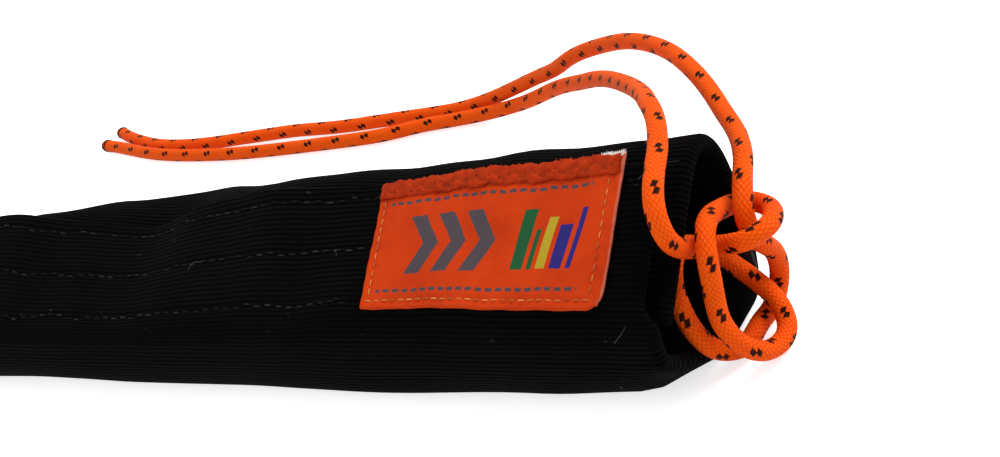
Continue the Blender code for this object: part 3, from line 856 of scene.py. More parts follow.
@dataclass(frozen=True)
class LabelCloth:
    """Orange coated cloth with a printed border of dashes and a plain design of three chevrons
    and five leaning bars.

    Attributes:
        width, height, band: the label's size, and how far its folded top reaches down.
        ground, worn, folded, selvedge: the cloth's colour, plain, worn, on the folded top and in a
        pale, uneven line along the edge at the mouth.
        soft: how far the print's edges are eased to both sides.
        dash_pitch, dash_half: from one dash to the next, and half a dash's height.
        dash_rows, dash_ends: the rows' heights, and how far they stay from the label's ends.
        tips, middle: the places of the chevrons' tips along and up the label.
        thick, reach, slope: the chevrons' thickness, half height and how far they fall back for
            each step of it.
        foot, lean: the bars' lower end and how far they lean for each step up.
        bars: the ink of each bar, its left and right side and its top.
    """

    width: float
    height: float
    band: float
    name: str = "label_cloth"
    ground: Colour = (0.65, 0.050, 0.004)
    worn: Colour = (0.48, 0.032, 0.003)
    folded: Colour = (0.33, 0.022, 0.003)
    pale_edge: Colour = (0.60, 0.26, 0.18)
    soft: float = 0.00008
    dash_pitch: float = 0.00182
    dash_half: float = 0.00030
    dash_rows: tuple[float, ...] = (0.0030, 0.0192)
    dash_ends: tuple[float, float] = (0.0026, 0.0044)
    tips: tuple[float, ...] = (0.0135, 0.0190, 0.0245)
    thick: float = 0.0030
    middle: float = 0.0112
    reach: float = 0.0052
    slope: float = 0.62
    foot: float = 0.0062
    lean: float = 0.16
    bars: tuple[tuple[Ink, float, float, float], ...] = (
        (Ink.GREEN, 0.0268, 0.0291, 0.0160), (Ink.GREEN, 0.0299, 0.0308, 0.0126),
        (Ink.YELLOW, 0.0316, 0.0332, 0.0144),
        (Ink.BLUE, 0.0340, 0.0361, 0.0132), (Ink.BLUE, 0.0369, 0.0378, 0.0156),
    )

    def block(self, g: Graph, u: Socket, v: Socket, sides: tuple[float, float],
              ends: tuple[float, float], lean: float = 0.0) -> Socket:
        """A block with soft edges.

        Args:
            g: the nodes.
            u, v: the places along and up the label.
            sides, ends: the block's left and right, and its lower and upper end.
            lean: how far the sides lean for each step up.

        Returns:
            1 inside, 0 outside.
        """
        across = g.off(g.math("SUBTRACT", u, g.product(v, lean)), sum(sides) / 2)
        up = g.off(v, sum(ends) / 2)
        return g.product(g.inside(across, (sides[1] - sides[0]) / 2, self.soft),
                         g.inside(up, (ends[1] - ends[0]) / 2, self.soft))

    def chevron(self, g: Graph, u: Socket, v: Socket, tip: float) -> Socket:
        """A chevron with soft edges.

        Args:
            g: the nodes.
            u, v: the places along and up the label.
            tip: the place of its tip along the label.

        Returns:
            1 inside, 0 outside.
        """
        up = g.off(v, self.middle)
        back = g.math("SUBTRACT", tip, g.total(u, g.product(up, self.slope)))
        return g.product(g.inside(g.off(back, self.thick / 2), self.thick / 2, self.soft),
                         g.inside(up, self.reach, self.soft))

    def dashes(self, g: Graph, u: Socket, v: Socket, place: float) -> Socket:
        """A row of dashes, each two thirds of its pitch long.

        Args:
            g: the nodes.
            u, v: the places along and up the label.
            place: the row's height.

        Returns:
            1 inside, 0 outside.
        """
        turn = g.math("FRACT", g.math("DIVIDE", u, self.dash_pitch))
        sides = self.dash_ends[0], self.width - self.dash_ends[1]
        ends = place - self.dash_half, place + self.dash_half
        return g.product(g.inside(g.off(turn, 0.5), 0.33, 0.03), self.block(g, u, v, sides, ends))

    def print_on(self, g: Graph, u: Socket, v: Socket, colour: Socket) -> Socket:
        """Lay the worn print over the cloth, one ink after another.

        Args:
            g: the nodes.
            u, v: the places along and up the label.
            colour: the cloth's colour.

        Returns:
            The colour with the print.
        """
        inks = {Ink.GREY: [self.dashes(g, u, v, place) for place in self.dash_rows]
                + [self.chevron(g, u, v, tip) for tip in self.tips]}
        for ink, left, right, top in self.bars:
            bar = self.block(g, u, v, (left, right), (self.foot, top), self.lean)
            inks.setdefault(ink, []).append(bar)
        wear = g.ramp(g.noise(420.0, 4.0, 0.7), 0.12, 0.42)
        cover = g.total(0.62, g.product(wear, 0.36))
        for ink, masks in inks.items():
            colour = g.mix(g.product(g.largest(*masks), cover), colour, ink.value)
        return colour

    def build(self) -> Material:
        """Twill, wear and the print on the label's own map.

        Returns:
            The material.
        """
        g = Graph(self.name)
        u, v = g.surface()
        twill = g.wave(g.total(u, g.product(v, 0.8)), 0.00042)
        wear = g.ramp(g.noise(120.0, 5.0, 0.65), 0.30, 0.75)
        colour = g.mix(g.product(wear, 0.8), self.ground, self.worn)
        fold = g.ramp(v, self.height - self.band - 0.0006, self.height - self.band)
        mottle = g.total(0.40, g.product(g.ramp(g.noise(650.0, 3.0, 0.6), 0.35, 0.65), 0.50))
        colour = g.mix(g.product(fold, mottle), colour, self.folded)
        colour = self.print_on(g, u, v, colour)
        frayed = g.total(u, g.product(g.noise(700.0), 0.0006))
        pale_line = g.ramp(frayed, self.width + 0.0001, self.width + 0.0003)
        # a pale, uneven line along the label's edge at the mouth
        colour = g.mix(g.product(pale_line, 0.45), colour, self.pale_edge)
        normal = g.bump(g.noise(420.0, 3.0), 0.00012, 0.5, g.bump(twill, 0.00005, 0.6))
        return g.finish(colour, 0.7, normal, sheen=0.01, specular=0.06)


@dataclass(frozen=True)
class Plush:
    """Black tape: the woven ground of a hook or a loop tape."""

    name: str
    colour: Colour
    grain: float

    def build(self) -> Material:
        """A fine grain on the piece's own coordinates.

        Returns:
            The material.
        """
        g = Graph(self.name)
        grain = g.noise(self.grain, 4.0, 0.7)
        light = tuple(3.0 * value for value in self.colour)
        normal = g.bump(grain, 0.00025, 0.8)
        return g.finish(g.mix(g.ramp(grain, 0.35, 0.8), self.colour, light), 0.8, normal, 0.02,
                        specular=0.08)


@dataclass(frozen=True)
class Webbing:
    """Narrow woven webbing: short ribs across its length."""

    name: str = "webbing"
    colour: Colour = (0.010, 0.010, 0.011)
    rib: float = 0.00055

    def build(self) -> Material:
        """Ribs across the band and a wavy warp along it; painted highlight on their tops.

        Returns:
            The material.
        """
        g = Graph(self.name)
        x, _, z = g.parts(g.own_place())
        weave = g.product(g.wave(x, self.rib), g.wave(z, self.rib * 0.8))
        # painted highlight: the weave's raised tops are coloured lighter, and its hollows darker as
        # painted shade
        light = tuple(2.6 * value for value in self.colour)
        return g.finish(g.mix(weave, self.colour, light), 0.75, g.bump(weave, 0.0002, 0.8), 0.03,
                        specular=0.1)


@dataclass(frozen=True)
class PaleFloor:
    """A plain pale table that the camera sees as white but for the object's shadow."""

    name: str = "pale_table"
    colour: Colour = (0.88, 0.88, 0.89)
    glow: float = 0.70

    def build(self) -> Material:
        """Matt, with a little light of its own for the camera and reflections.

        Returns:
            The material.
        """
        g = Graph(self.name)
        glow = g.node("ShaderNodeEmission")
        g.put(g.product(g.seen(), self.glow), glow.inputs["Strength"])
        both = g.node("ShaderNodeAddShader")
        g.put(g.shader.outputs[0], both.inputs[0])
        g.put(glow.outputs[0], both.inputs[1])
        g.put(both.outputs[0], g.tree.nodes["Material Output"].inputs["Surface"])
        return g.finish(self.colour, 0.9)


def dress(item: Object, material: Material, slot: Slot | None = None,
          body: Body | None = None) -> Object:
    """Give an object its material and join it to its body.

    Args:
        item: the object.
        material: its only material.
        slot: the slot, where the object is a part of the product; not used.
        body: the body that it rides on, where it rides on one alone.

    Returns:
        The same object.
    """
    item.data.materials.clear()
    item.data.materials.append(material)
    if body is not None:
        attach(item, body.value)
    return item


# The sleeve's shape


@dataclass(frozen=True)
class Wrap:
    """The sleeve's cross-section along its length, as one line of cloth.

    It goes from the edge under the flap over the crown, down the far side, along the ground, up
    the near side, round the fold and up the flap to its free edge.

    Attributes:
        length, width, height: the sleeve's size.
        cloth: the canvas's thickness.
        fold_y, hinge_z: the place of the fold that the flap turns about.
        hinge_straight: how far the cloth runs straight up on both sides of that place.
        layer_depth: how far in the covered layer lies from the flap's outer face.
        flap_reach: how far the flap reaches past the lowest stitch row.
        under_start, under_end: where the covered layer starts and ends along the closure.
        side_pulls, flap_pulls: the pulls of the far side's and the flap's curves.
        stitch_rows, groove: the closure's rows of stitches up from the lowest one, and how deep
            a row draws the cloth in.
        hem_seam: how far the hems' stitches are from the ends.
        shares: the stations. Each says its place as a share of half the length, then in shares
            of the width or the height: the lowest row of stitches across and up, the far side
            across and up, the strip on the ground's far and near edge, and the dip of the flap's
            free edge; then the crown's and the near wall's pull and the closure's tilt in
            degrees.
        counts: the number of faces along each stretch of the line.
        wavers: small uneven waves: which share, their size and their length.
    """

    length: float = 0.500
    width: float = 0.0366
    height: float = 0.0316
    cloth: float = 0.0012
    fold_y: float = -0.0178
    hinge_z: float = 0.0120
    hinge_straight: float = 0.0015
    layer_depth: float = 0.0040
    flap_reach: float = 0.0205
    under_start: float = -0.0015
    under_end: float = 0.0190
    side_pulls: tuple[float, float] = (1.05, 1.00)
    flap_pulls: tuple[float, float] = (0.70, 1.15)
    stitch_rows: tuple[float, ...] = (0.0, 0.0090, 0.0180)
    groove: float = 0.00022
    hem_seam: float = 0.0085
    shares: Route = (
        (-1.000, -0.385, 0.610, 0.505, 0.520, 0.300, -0.230, 0.000, 1.70, 1.00, 33.0),
        (-0.900, -0.385, 0.600, 0.510, 0.500, 0.300, -0.230, 0.000, 1.60, 1.00, 32.0),
        (-0.600, -0.385, 0.550, 0.545, 0.430, 0.310, -0.230, 0.020, 1.60, 1.00, 22.0),
        (-0.250, -0.385, 0.560, 0.535, 0.430, 0.310, -0.230, 0.000, 1.35, 1.00, 31.0),
        (0.100, -0.385, 0.545, 0.545, 0.430, 0.310, -0.230, 0.015, 1.00, 1.00, 25.0),
        (0.420, -0.385, 0.553, 0.530, 0.415, 0.310, -0.235, 0.000, 0.88, 1.00, 32.0),
        (0.485, -0.385, 0.543, 0.535, 0.534, 0.310, -0.246, 0.013, 1.58, 1.00, 25.6),
        (0.545, -0.385, 0.535, 0.540, 0.548, 0.310, -0.255, 0.024, 1.84, 1.00, 20.0),
        (0.655, -0.385, 0.575, 0.545, 0.420, 0.310, -0.270, 0.000, 1.45, 1.00, 33.5),
        (0.715, -0.385, 0.600, 0.545, 0.460, 0.310, -0.280, 0.000, 1.32, 1.00, 36.0),
        (0.780, -0.385, 0.640, 0.530, 0.480, 0.310, -0.290, 0.000, 1.62, 1.00, 29.0),
        (0.900, -0.385, 0.620, 0.512, 0.520, 0.300, -0.260, 0.000, 1.70, 1.00, 34.0),
        (0.965, -0.385, 0.620, 0.510, 0.520, 0.300, -0.220, 0.000, 1.84, 0.90, 34.0),
        (1.000, -0.392, 0.624, 0.478, 0.575, 0.290, 0.000, 0.000, 1.90, 0.40, 35.8),
    )
    counts: tuple[int, ...] = (14, 34, 18, 14, 22, 3, 14, 44)
    wavers: Route = (
        (0, 0.0050, 0.0410), (1, 0.0070, 0.0570), (1, 0.0040, 0.0230), (2, 0.0080, 0.0470),
        (2, 0.0050, 0.0190), (3, 0.0180, 0.0630), (7, 0.0500, 0.0370), (8, 0.0700, 0.0520),
        (9, 0.5500, 0.0330), (9, 0.3500, 0.0170),
    )

    @property
    def half(self) -> float:
        """Half the sleeve's length."""
        return self.length / 2

    def at(self, x: Array) -> Array:
        """The shares, eased between the two stations around each place.

        Args:
            x: places along the sleeve, shape (rows,).

        Returns:
            The shares without their station, shape (rows, 10).
        """
        table = np.array(self.shares)
        share = np.clip(x / self.half, -1.0, 1.0)
        k = np.clip(np.searchsorted(table[:, 0], share) - 1, 0, len(table) - 2)
        t = smoothstep((share - table[k, 0]) / (table[k + 1, 0] - table[k, 0]))[:, None]
        values = table[k, 1:] * (1 - t) + table[k + 1, 1:] * t
        still, fade, phase = 0.004, 0.030, 0.37
        calm = smoothstep((self.half - still - np.abs(x)) / fade)
        for turn, (column, size, length) in enumerate(self.wavers):
            values[:, column] += calm * ripple(x, ((size, length, phase * turn),))
        return values

    def closure(self, x: Array, places: Array, depth: float | Array) -> Array:
        """Points along the closure, on a straight slope that dips towards the free edge.

        A point is seam + up place - out (dip + depth), where the dip grows as the square of the
        place up from the lowest stitch row.

        Args:
            x: places along the sleeve, shape (rows,).
            places: distances up from the lowest stitch row, shape (count,) or (rows, count).
            depth: how far in from the flap's outer face.

        Returns:
            Points (y, z) of shape (rows, count, 2).
        """
        values = self.at(x)
        tilt = np.radians(values[:, 9])
        seam = np.stack([values[:, 0] * self.width, values[:, 1] * self.height], axis=1)
        up = np.stack([np.cos(tilt), np.sin(tilt)], axis=1)
        out = np.stack([-np.sin(tilt), np.cos(tilt)], axis=1)
        places = np.broadcast_to(np.atleast_2d(places), (len(x), np.shape(places)[-1]))
        share = places / self.flap_reach
        dip = values[:, 6, None] * self.height * share * np.abs(share)
        off = (dip + depth)[..., None]
        return seam[:, None] + up[:, None] * places[..., None] - out[:, None] * off

    def lines(self, x: Array) -> Array:
        """The whole line of cloth, its outer face.

        Args:
            x: places along the sleeve, shape (rows,).

        Returns:
            Points (y, z) of shape (rows, columns, 2).
        """
        values = self.at(x)
        counts = self.counts
        rows = len(x)
        under = self.closure(x, np.linspace(self.under_start, self.under_end, counts[0]),
                             self.layer_depth)
        rise = unit(under[:, -1] - under[:, -2])
        far = np.stack([values[:, 2] * self.width, values[:, 3] * self.height], axis=1)
        ground = np.zeros(rows)
        far_foot, near_foot = (
            np.stack([values[:, k] * self.width, ground], axis=1) for k in (4, 5)
        )
        low = np.tile([self.fold_y, self.hinge_z - self.hinge_straight], (rows, 1))
        high = np.tile([self.fold_y, self.hinge_z + self.hinge_straight], (rows, 1))
        down, near, up = np.array([0.0, -1.0]), np.array([-1.0, 0.0]), np.array([0.0, 1.0])

        def steps(k: int) -> Array:
            """The shares at which stretch k has its points, without the first."""
            return np.linspace(0.0, 1.0, counts[k] + 1)[1:]

        def straight(start: Array, end: Array, k: int) -> Array:
            """Stretch k, straight from the start to the end."""
            t = steps(k)[None, :, None]
            return start[:, None] * (1 - t) + end[:, None] * t

        crown = hermite(under[:, -1], rise, far, down, (values[:, 7], values[:, 7]), steps(1))
        side = hermite(far, down, far_foot, near, self.side_pulls, steps(2))
        flat = straight(far_foot, near_foot, 3)
        wall = hermite(near_foot, near, low, up, (values[:, 8], values[:, 8]), steps(4))
        fold = straight(low, high, 5)
        slope = self.closure(x, np.linspace(0.0, self.flap_reach, counts[7] + 1), 0.0)
        turn = hermite(high, up, slope[:, 0], unit(slope[:, 1] - slope[:, 0]), self.flap_pulls,
                       steps(6))
        line = np.concatenate([under, crown, side, flat, wall, fold, turn, slope[:, 1:]], axis=1)
        line[..., 1] = np.maximum(line[..., 1], 0.0)
        return line

    def split(self) -> int:
        """The column in the middle of the ground, where the panel and the near side meet."""
        return sum(self.counts[:3]) + self.counts[3] // 2

    def slope_start(self) -> int:
        """The column of the lowest stitch row on the flap."""
        return sum(self.counts[:7]) - 1

    def cloth_points(self, x: Array, depth: Array, shift: Array) -> Array:
        """Places in space on the whole line of cloth.

        Args:
            x: places along the sleeve, shape (rows,).
            depth: how far in from the outer face, shape (rows, columns).
            shift: moves along X, shape (rows, columns).

        Returns:
            Points of shape (rows, columns, 3).
        """
        lines = self.lines(x)
        lines = lines + inward(lines) * depth[..., None]
        along = x[:, None] + shift
        return np.concatenate([along[..., None], lines], axis=-1)

    def closure_points(self, x: Array, places: Array, depth: float | Array) -> Array:
        """Places in space along the closure.

        Args:
            x, places, depth: as for closure.

        Returns:
            Points of shape (rows, count, 3).
        """
        spots = self.closure(x, places, depth)
        along = np.broadcast_to(x[:, None], spots.shape[:2])
        return np.concatenate([along[..., None], spots], axis=-1)

    def closure_normal(self, x: Array) -> Array:
        """The way out of the closure's slope at each x, shape (rows, 3)."""
        tilt = np.radians(self.at(x)[:, 9])
        return np.stack([np.zeros_like(tilt), -np.sin(tilt), np.cos(tilt)], axis=1)


@dataclass
class Canvas:
    """The sheet of ribbed canvas: the panel and the closure flap with their folded hems.

    The panel and the flap are two pieces that meet in the middle of the underside.

    Attributes:
        wrap: the cross-section along the sleeve.
        hem_width, hem_gap: a hem's width and the gap between its two layers.
        flap_setback: how far the flap's ends stay back from the panel's.
        reach: how far the panel's ends reach past the wrap's.
        row_step: the distance between two rows of points along the sleeve.
        stretch_start, stretch_over: where the cloth starts to be drawn out to its ends, and
            over what length.
        bend_reach: how far the cloth bends on each side of the fold when the flap opens; not used.
    """

    wrap: Wrap
    hem_width: float = 0.0100
    hem_gap: float = 0.0004
    flap_setback: float = 0.0025
    reach: float = 0.0012
    row_step: float = 0.0026
    stretch_start: float = 0.215
    stretch_over: float = 0.030
    bend_reach: float = 0.0035

    def path(self) -> tuple[Array, Array, Array]:
        """The cloth's way along the sleeve in (x, depth): hem, fold, face, fold and hem.

        Returns:
            The middle of the cloth, shape (rows, 2), its way out, shape (rows, 2), and the
            distance along the cloth, shape (rows,).
        """
        t = self.wrap.cloth
        inner = self.wrap.half - self.hem_width
        radius = (t + self.hem_gap) / 2
        centre = self.wrap.half - radius - t / 2
        face = np.linspace(-centre, centre, round(2 * centre / self.row_step))
        hem = np.linspace(inner, centre, 5)
        turn = np.linspace(0.0, math.pi, 9)[1:-1]
        bend = np.stack([centre + radius * np.sin(turn), t / 2 + radius * (1 - np.cos(turn))], 1)
        top = np.stack([face, np.full_like(face, t / 2)], axis=1)
        back = np.stack([hem, np.full_like(hem, t / 2 + 2 * radius)], axis=1)
        right = np.concatenate([bend, back[::-1]])
        left = right[::-1] * [-1, 1]
        middle = np.concatenate([left, top, right])
        way = unit(np.gradient(middle, axis=0))
        return middle, np.stack([way[:, 1], -way[:, 0]], axis=1), distances(middle)

    def dips(self, x: Array, columns: int) -> Array:
        """How far the outer face is drawn in beside the seams and the hems.

        A seam's groove is a bell of its distance, with small puckers along it. A column's place
        is its distance up the flap from the lowest seam, and far off elsewhere.

        Args:
            x: places along the sleeve, shape (rows,).
            columns: the number of columns of the whole sheet.

        Returns:
            Depths of shape (rows, columns).
        """
        wrap = self.wrap
        far_off, before, spacing = 1.0, 6, 0.0009
        pucker_height, ring_depth = 0.00007, 0.00016
        start = wrap.slope_start()
        place = np.full(columns, far_off)
        place[start:] = np.linspace(0.0, wrap.flap_reach, columns - start)
        place[start - before : start] = -np.arange(before, 0, -1) * spacing
        depth = np.zeros((len(x), columns))
        for k, seam in enumerate(wrap.stitch_rows):
            away = (place - seam)[None]
            puckers = ripple(x, ((0.5, 0.0071, 0.13 * k), (0.5, 0.0113, 0.37 * k)))[:, None]
            skirt = bell(away, 0.0022) * (np.abs(away) > 1e-9)
            depth += wrap.groove * bell(away, 0.0008) - pucker_height * puckers * skirt
        ring = bell(np.abs(x) - (wrap.half - wrap.hem_seam), 0.0007)[:, None]
        return depth + ring_depth * ring

    def faces(self) -> tuple[Array, Array, Array, Array]:
        """The faces of the whole sheet and its map.

        Returns:
            The outer and the inner grid, shape (rows, columns, 3), and the map coordinates of the
            rows and of the columns.
        """
        middle, out, along = self.path()
        measured_at, eased = 0.2, 9
        v = distances(self.wrap.lines(np.array([measured_at]))[0])
        columns = len(v)
        start = self.wrap.slope_start() - eased
        share = np.zeros(columns)
        share[start:] = smoothstep(np.arange(columns - start) / eased)
        grids = []
        for side in (-1, 1):
            x, depth = (middle + side * out * self.wrap.cloth / 2).T
            stretch = smoothstep((np.abs(x) - self.stretch_start) / self.stretch_over)
            near_end = np.sign(x) * stretch
            shift = near_end[:, None] * (self.reach - share[None] * self.flap_setback)
            full = np.broadcast_to(depth[:, None], (len(x), columns)).copy()
            if side == 1:
                on_face = (depth < self.wrap.cloth / 2)[:, None]
                full = full + np.where(on_face, self.dips(x, columns), 0.0)
            grids.append(self.wrap.cloth_points(x, full, shift))
        inner, outer = grids
        return outer, inner, along - along.mean(), v

    def build(self, canvas: Material, flap_canvas: Material) -> None:
        """Make the two pieces and dress them, and join the panel to the sleeve's body.

        Args:
            canvas, flap_canvas: the finishes of the panel and of the flap.
        """
        outer, inner, u, v = self.faces()
        split = self.wrap.split()
        panel = slab("panel_canvas", outer[:, : split + 1], inner[:, : split + 1], u,
                     v[: split + 1])
        flap = slab("flap_canvas", outer[:, split:], inner[:, split:], u, v[split:])
        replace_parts(dress(panel, canvas, Slot.CANVAS, Body.SLEEVE), "sleeve_panel", "mouth_hem",
                    "far_hem")
        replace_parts(dress(flap, flap_canvas, Slot.FLAP_CANVAS), "closure_flap",
                    "flap_mouth_hem", "flap_far_hem")
        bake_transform(flap)


@dataclass
class ClosureTapes:
    """The hook tape under the flap and the loop tape on the layer that it covers.

    Attributes:
        wrap: the cross-section along the sleeve.
        low, high: the tapes' edges, up from the lowest stitch row.
        end: where the tapes end along the sleeve, on both sides of its middle.
        hook_depth, loop_depth: how far in the strips lie from the flap's outer face.
        base: the strips' thickness.
        ruffle: how uneven the loop strip's face is.
        hook_rise, loop_rise: how far the hooks and the loops stand up.
        loop_sink: how deep the loops' feet are in their strip.
        pitch: the distance between two fibres of a row.
        fibre: a fibre's radius.
    """

    wrap: Wrap
    low: float = -0.0010
    high: float = 0.0190
    end: float = 0.2397
    hook_depth: float = 0.0015
    loop_depth: float = 0.0032
    base: float = 0.0005
    ruffle: float = 0.00012
    hook_rise: float = 0.0004
    loop_rise: float = 0.0004
    loop_sink: float = 0.00005
    pitch: float = 0.0016
    fibre: float = 0.00011

    def strip(self, name: str, depth: float, thickness: float, wave: float) -> Object:
        """A woven strip along the closure.

        Args:
            name: the piece's name.
            depth, thickness: how far in its outer face lies, and its thickness.
            wave: how far small sines ruffle its outer face.

        Returns:
            The linked object.
        """
        x = np.linspace(-self.end, self.end, 160)
        places = np.linspace(self.low, self.high, 24)
        ruffle = wave * (
            ripple(x, ((0.5, 0.0043, 0.1), (0.5, 0.0067, 0.6)))[:, None]
            * ripple(places, ((0.6, 0.0031, 0.2), (0.4, 0.0019, 0.5)))[None]
        )
        outer = self.wrap.closure_points(x, places, depth + np.abs(ruffle))
        inner = self.wrap.closure_points(x, places, depth + thickness)
        return slab(name, outer, inner, x, places)

    def tufts(self, name: str, depth: float, rise: float, side: float, seed: int) -> Object:
        """Small arched fibres in staggered rows: hooks or loops, standing off the strip.

        Args:
            name: the piece's name.
            depth: the depth of the fibres' feet below the flap's outer face.
            rise: how far they stand up.
            side: 1 to stand out of the sleeve, -1 to stand into it.
            seed: the seed of the small irregularities.

        Returns:
            The linked object.
        """
        random = np.random.default_rng(seed)
        x = np.arange(-self.end + self.pitch, self.end - self.pitch / 2, self.pitch)
        places = np.arange(self.low + self.pitch / 2, self.high, self.pitch * 0.9)
        i, j = grid_numbers(len(x), len(places))
        at = x[i] + (j % 2) * self.pitch / 2 + random.normal(0.0, 0.00008, len(i))
        place = places[j] + random.normal(0.0, 0.00006, len(j))
        feet = self.wrap.closure_points(at, place[:, None], depth)[:, 0]
        normal = self.wrap.closure_normal(at) * side
        turn = random.normal(0.0, 0.35, len(at))
        way = unit(np.stack([np.cos(turn), np.sin(turn), 0 * turn], axis=1))
        way = unit(way - normal * np.sum(way * normal, axis=1, keepdims=True))
        tuft = Fibres(self.fibre, rise - self.fibre, -0.00005, rings=4, sides=3)
        return tuft.build(name, feet, way, normal, self.pitch * 0.55, random.random(len(at)))

    def build(self, hook: Material, loop: Material) -> None:
        """Make both tapes with their hooks and loops.

        Args:
            hook, loop: the finishes of the two tapes.
        """
        hooks = self.strip("hook_strip", self.hook_depth, self.base, 0.0)
        barbs = self.tufts("hook_barbs", self.hook_depth + self.base, self.hook_rise, -1.0, 3)
        loops = self.strip("loop_strip", self.loop_depth, self.base, self.ruffle)
        pile = self.tufts("loop_pile", self.loop_depth + self.loop_sink, self.loop_rise, 1.0, 7)
        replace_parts(dress(hooks, hook, Slot.HOOK, Body.FLAP), "hook_tape")
        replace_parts(dress(loops, loop, Slot.LOOP, Body.SLEEVE), "loop_tape")
        dress(barbs, hook, Slot.HOOK, Body.FLAP)
        dress(pile, loop, Slot.LOOP, Body.SLEEVE)
        log.info("closure tapes: %.0f mm wide, %d and %d triangles of hooks and loops",
                 1000 * (self.high - self.low), len(barbs.data.polygons), len(pile.data.polygons))


@dataclass
class Stitching:
    """The sewing: three rows along the closure and a ring at each hem.

    Attributes:
        wrap: the cross-section along the sleeve.
        pitch: the distance between two stitches.
        share: a stitch's length as a share of the pitch.
        thread: how a stitch lies on the cloth.
        row_end: where the long rows end along the sleeve, on both sides of its middle.
        label_start: where the label starts to cover them.
        lowest: the height under which no stitch of a hem is made.
    """

    wrap: Wrap
    pitch: float = 0.0024
    share: float = 0.60
    thread: Fibres = Fibres(radius=0.00016, arch=0.00022, sink=-0.00010)
    row_end: float = 0.2440
    label_start: float = 0.1968
    lowest: float = 0.0040

    def sew(self, name: str, spots: Array, ways: Array, normals: Array,
            random: np.random.Generator, look: tuple[Material, Slot, Body]) -> None:
        """Make one row of stitches, dress it and join it to its body.

        Args:
            name: the piece's name.
            spots, ways, normals: each stitch's middle, its way and the way out, shape (n, 3).
            random: the row's own generator.
            look: the thread's finish, the record's slot and the body that it rides on.
        """
        shade = random.random(len(spots)) ** 3
        row = self.thread.build(name, spots, ways, normals, self.pitch * self.share, shade)
        dress(row, *look)

    def closure_rows(self, thread: Material) -> None:
        """The three long rows on the flap; the stretches under the label are left out.

        Args:
            thread: the thread's finish.
        """
        random = np.random.default_rng(11)
        x = np.arange(-self.row_end, self.row_end, self.pitch)
        uneven_along, uneven_up, shift, ahead = 0.00012, 0.00022, 0.0006, 0.001
        for k, place in enumerate(self.wrap.stitch_rows):
            at = x + random.normal(0.0, uneven_along, len(x)) + shift * k
            at = at[(at < self.label_start) | (at > self.row_end)]
            up = (place + random.normal(0.0, uneven_up, len(at)))[:, None]
            spots = self.wrap.closure_points(at, up, self.wrap.groove * 0.8)[:, 0]
            here, there = (self.wrap.closure_points(spot, np.array([place]), 0.0)[:, 0]
                           for spot in (at, at + ahead))
            self.sew(f"closure_stitches_{k + 1}", spots, unit(there - here),
                     self.wrap.closure_normal(at), random, (thread, Slot.FLAP_CANVAS, Body.FLAP))
        log.info("closure stitches: three rows, %.1f mm a stitch", 1000 * self.pitch)

    def hem_ring(self, name: str, end: float, thread: Material) -> None:
        """The row round one hem, on the panel from its covered edge to the fold.

        Args:
            name: the piece's name.
            end: 1 for the mouth, -1 for the far end.
            thread: the thread's finish.
        """
        random = np.random.default_rng(5)
        margin, ahead, sunk = 0.0008, 0.0004, 0.00012
        past_edge, before_fold = 9, 6
        counts = self.wrap.counts
        x = np.array([end * (self.wrap.half - self.wrap.hem_seam)])
        line = self.wrap.lines(x)[0, counts[0] + past_edge : sum(counts[:5]) - before_fold]
        along = distances(line)
        at = np.arange(margin, along[-1] - margin, self.pitch)
        spot, there = (np.stack([np.interp(places, along, line[:, k]) for k in (0, 1)], axis=1)
                       for places in (at, at + ahead))
        way = unit(there - spot)
        out = np.stack([-way[:, 1], way[:, 0]], axis=1)
        spot = spot - out * sunk
        keep = spot[:, 1] > self.lowest
        flat = np.zeros((len(at), 1))
        spots, ways, normals = (np.concatenate(pair, axis=1)[keep]
                                for pair in ((flat + x, spot), (flat, way), (flat, out)))
        self.sew(name, spots, ways, normals, random, (thread, Slot.CANVAS, Body.SLEEVE))

    def build(self, thread: Material) -> None:
        """Sew the closure and both hems.

        Args:
            thread: the thread's finish.
        """
        self.closure_rows(thread)
        self.hem_ring("mouth_hem_stitches", 1.0, thread)
        self.hem_ring("far_hem_stitches", -1.0, thread)
        log.info("hem stitches: one ring at each end")


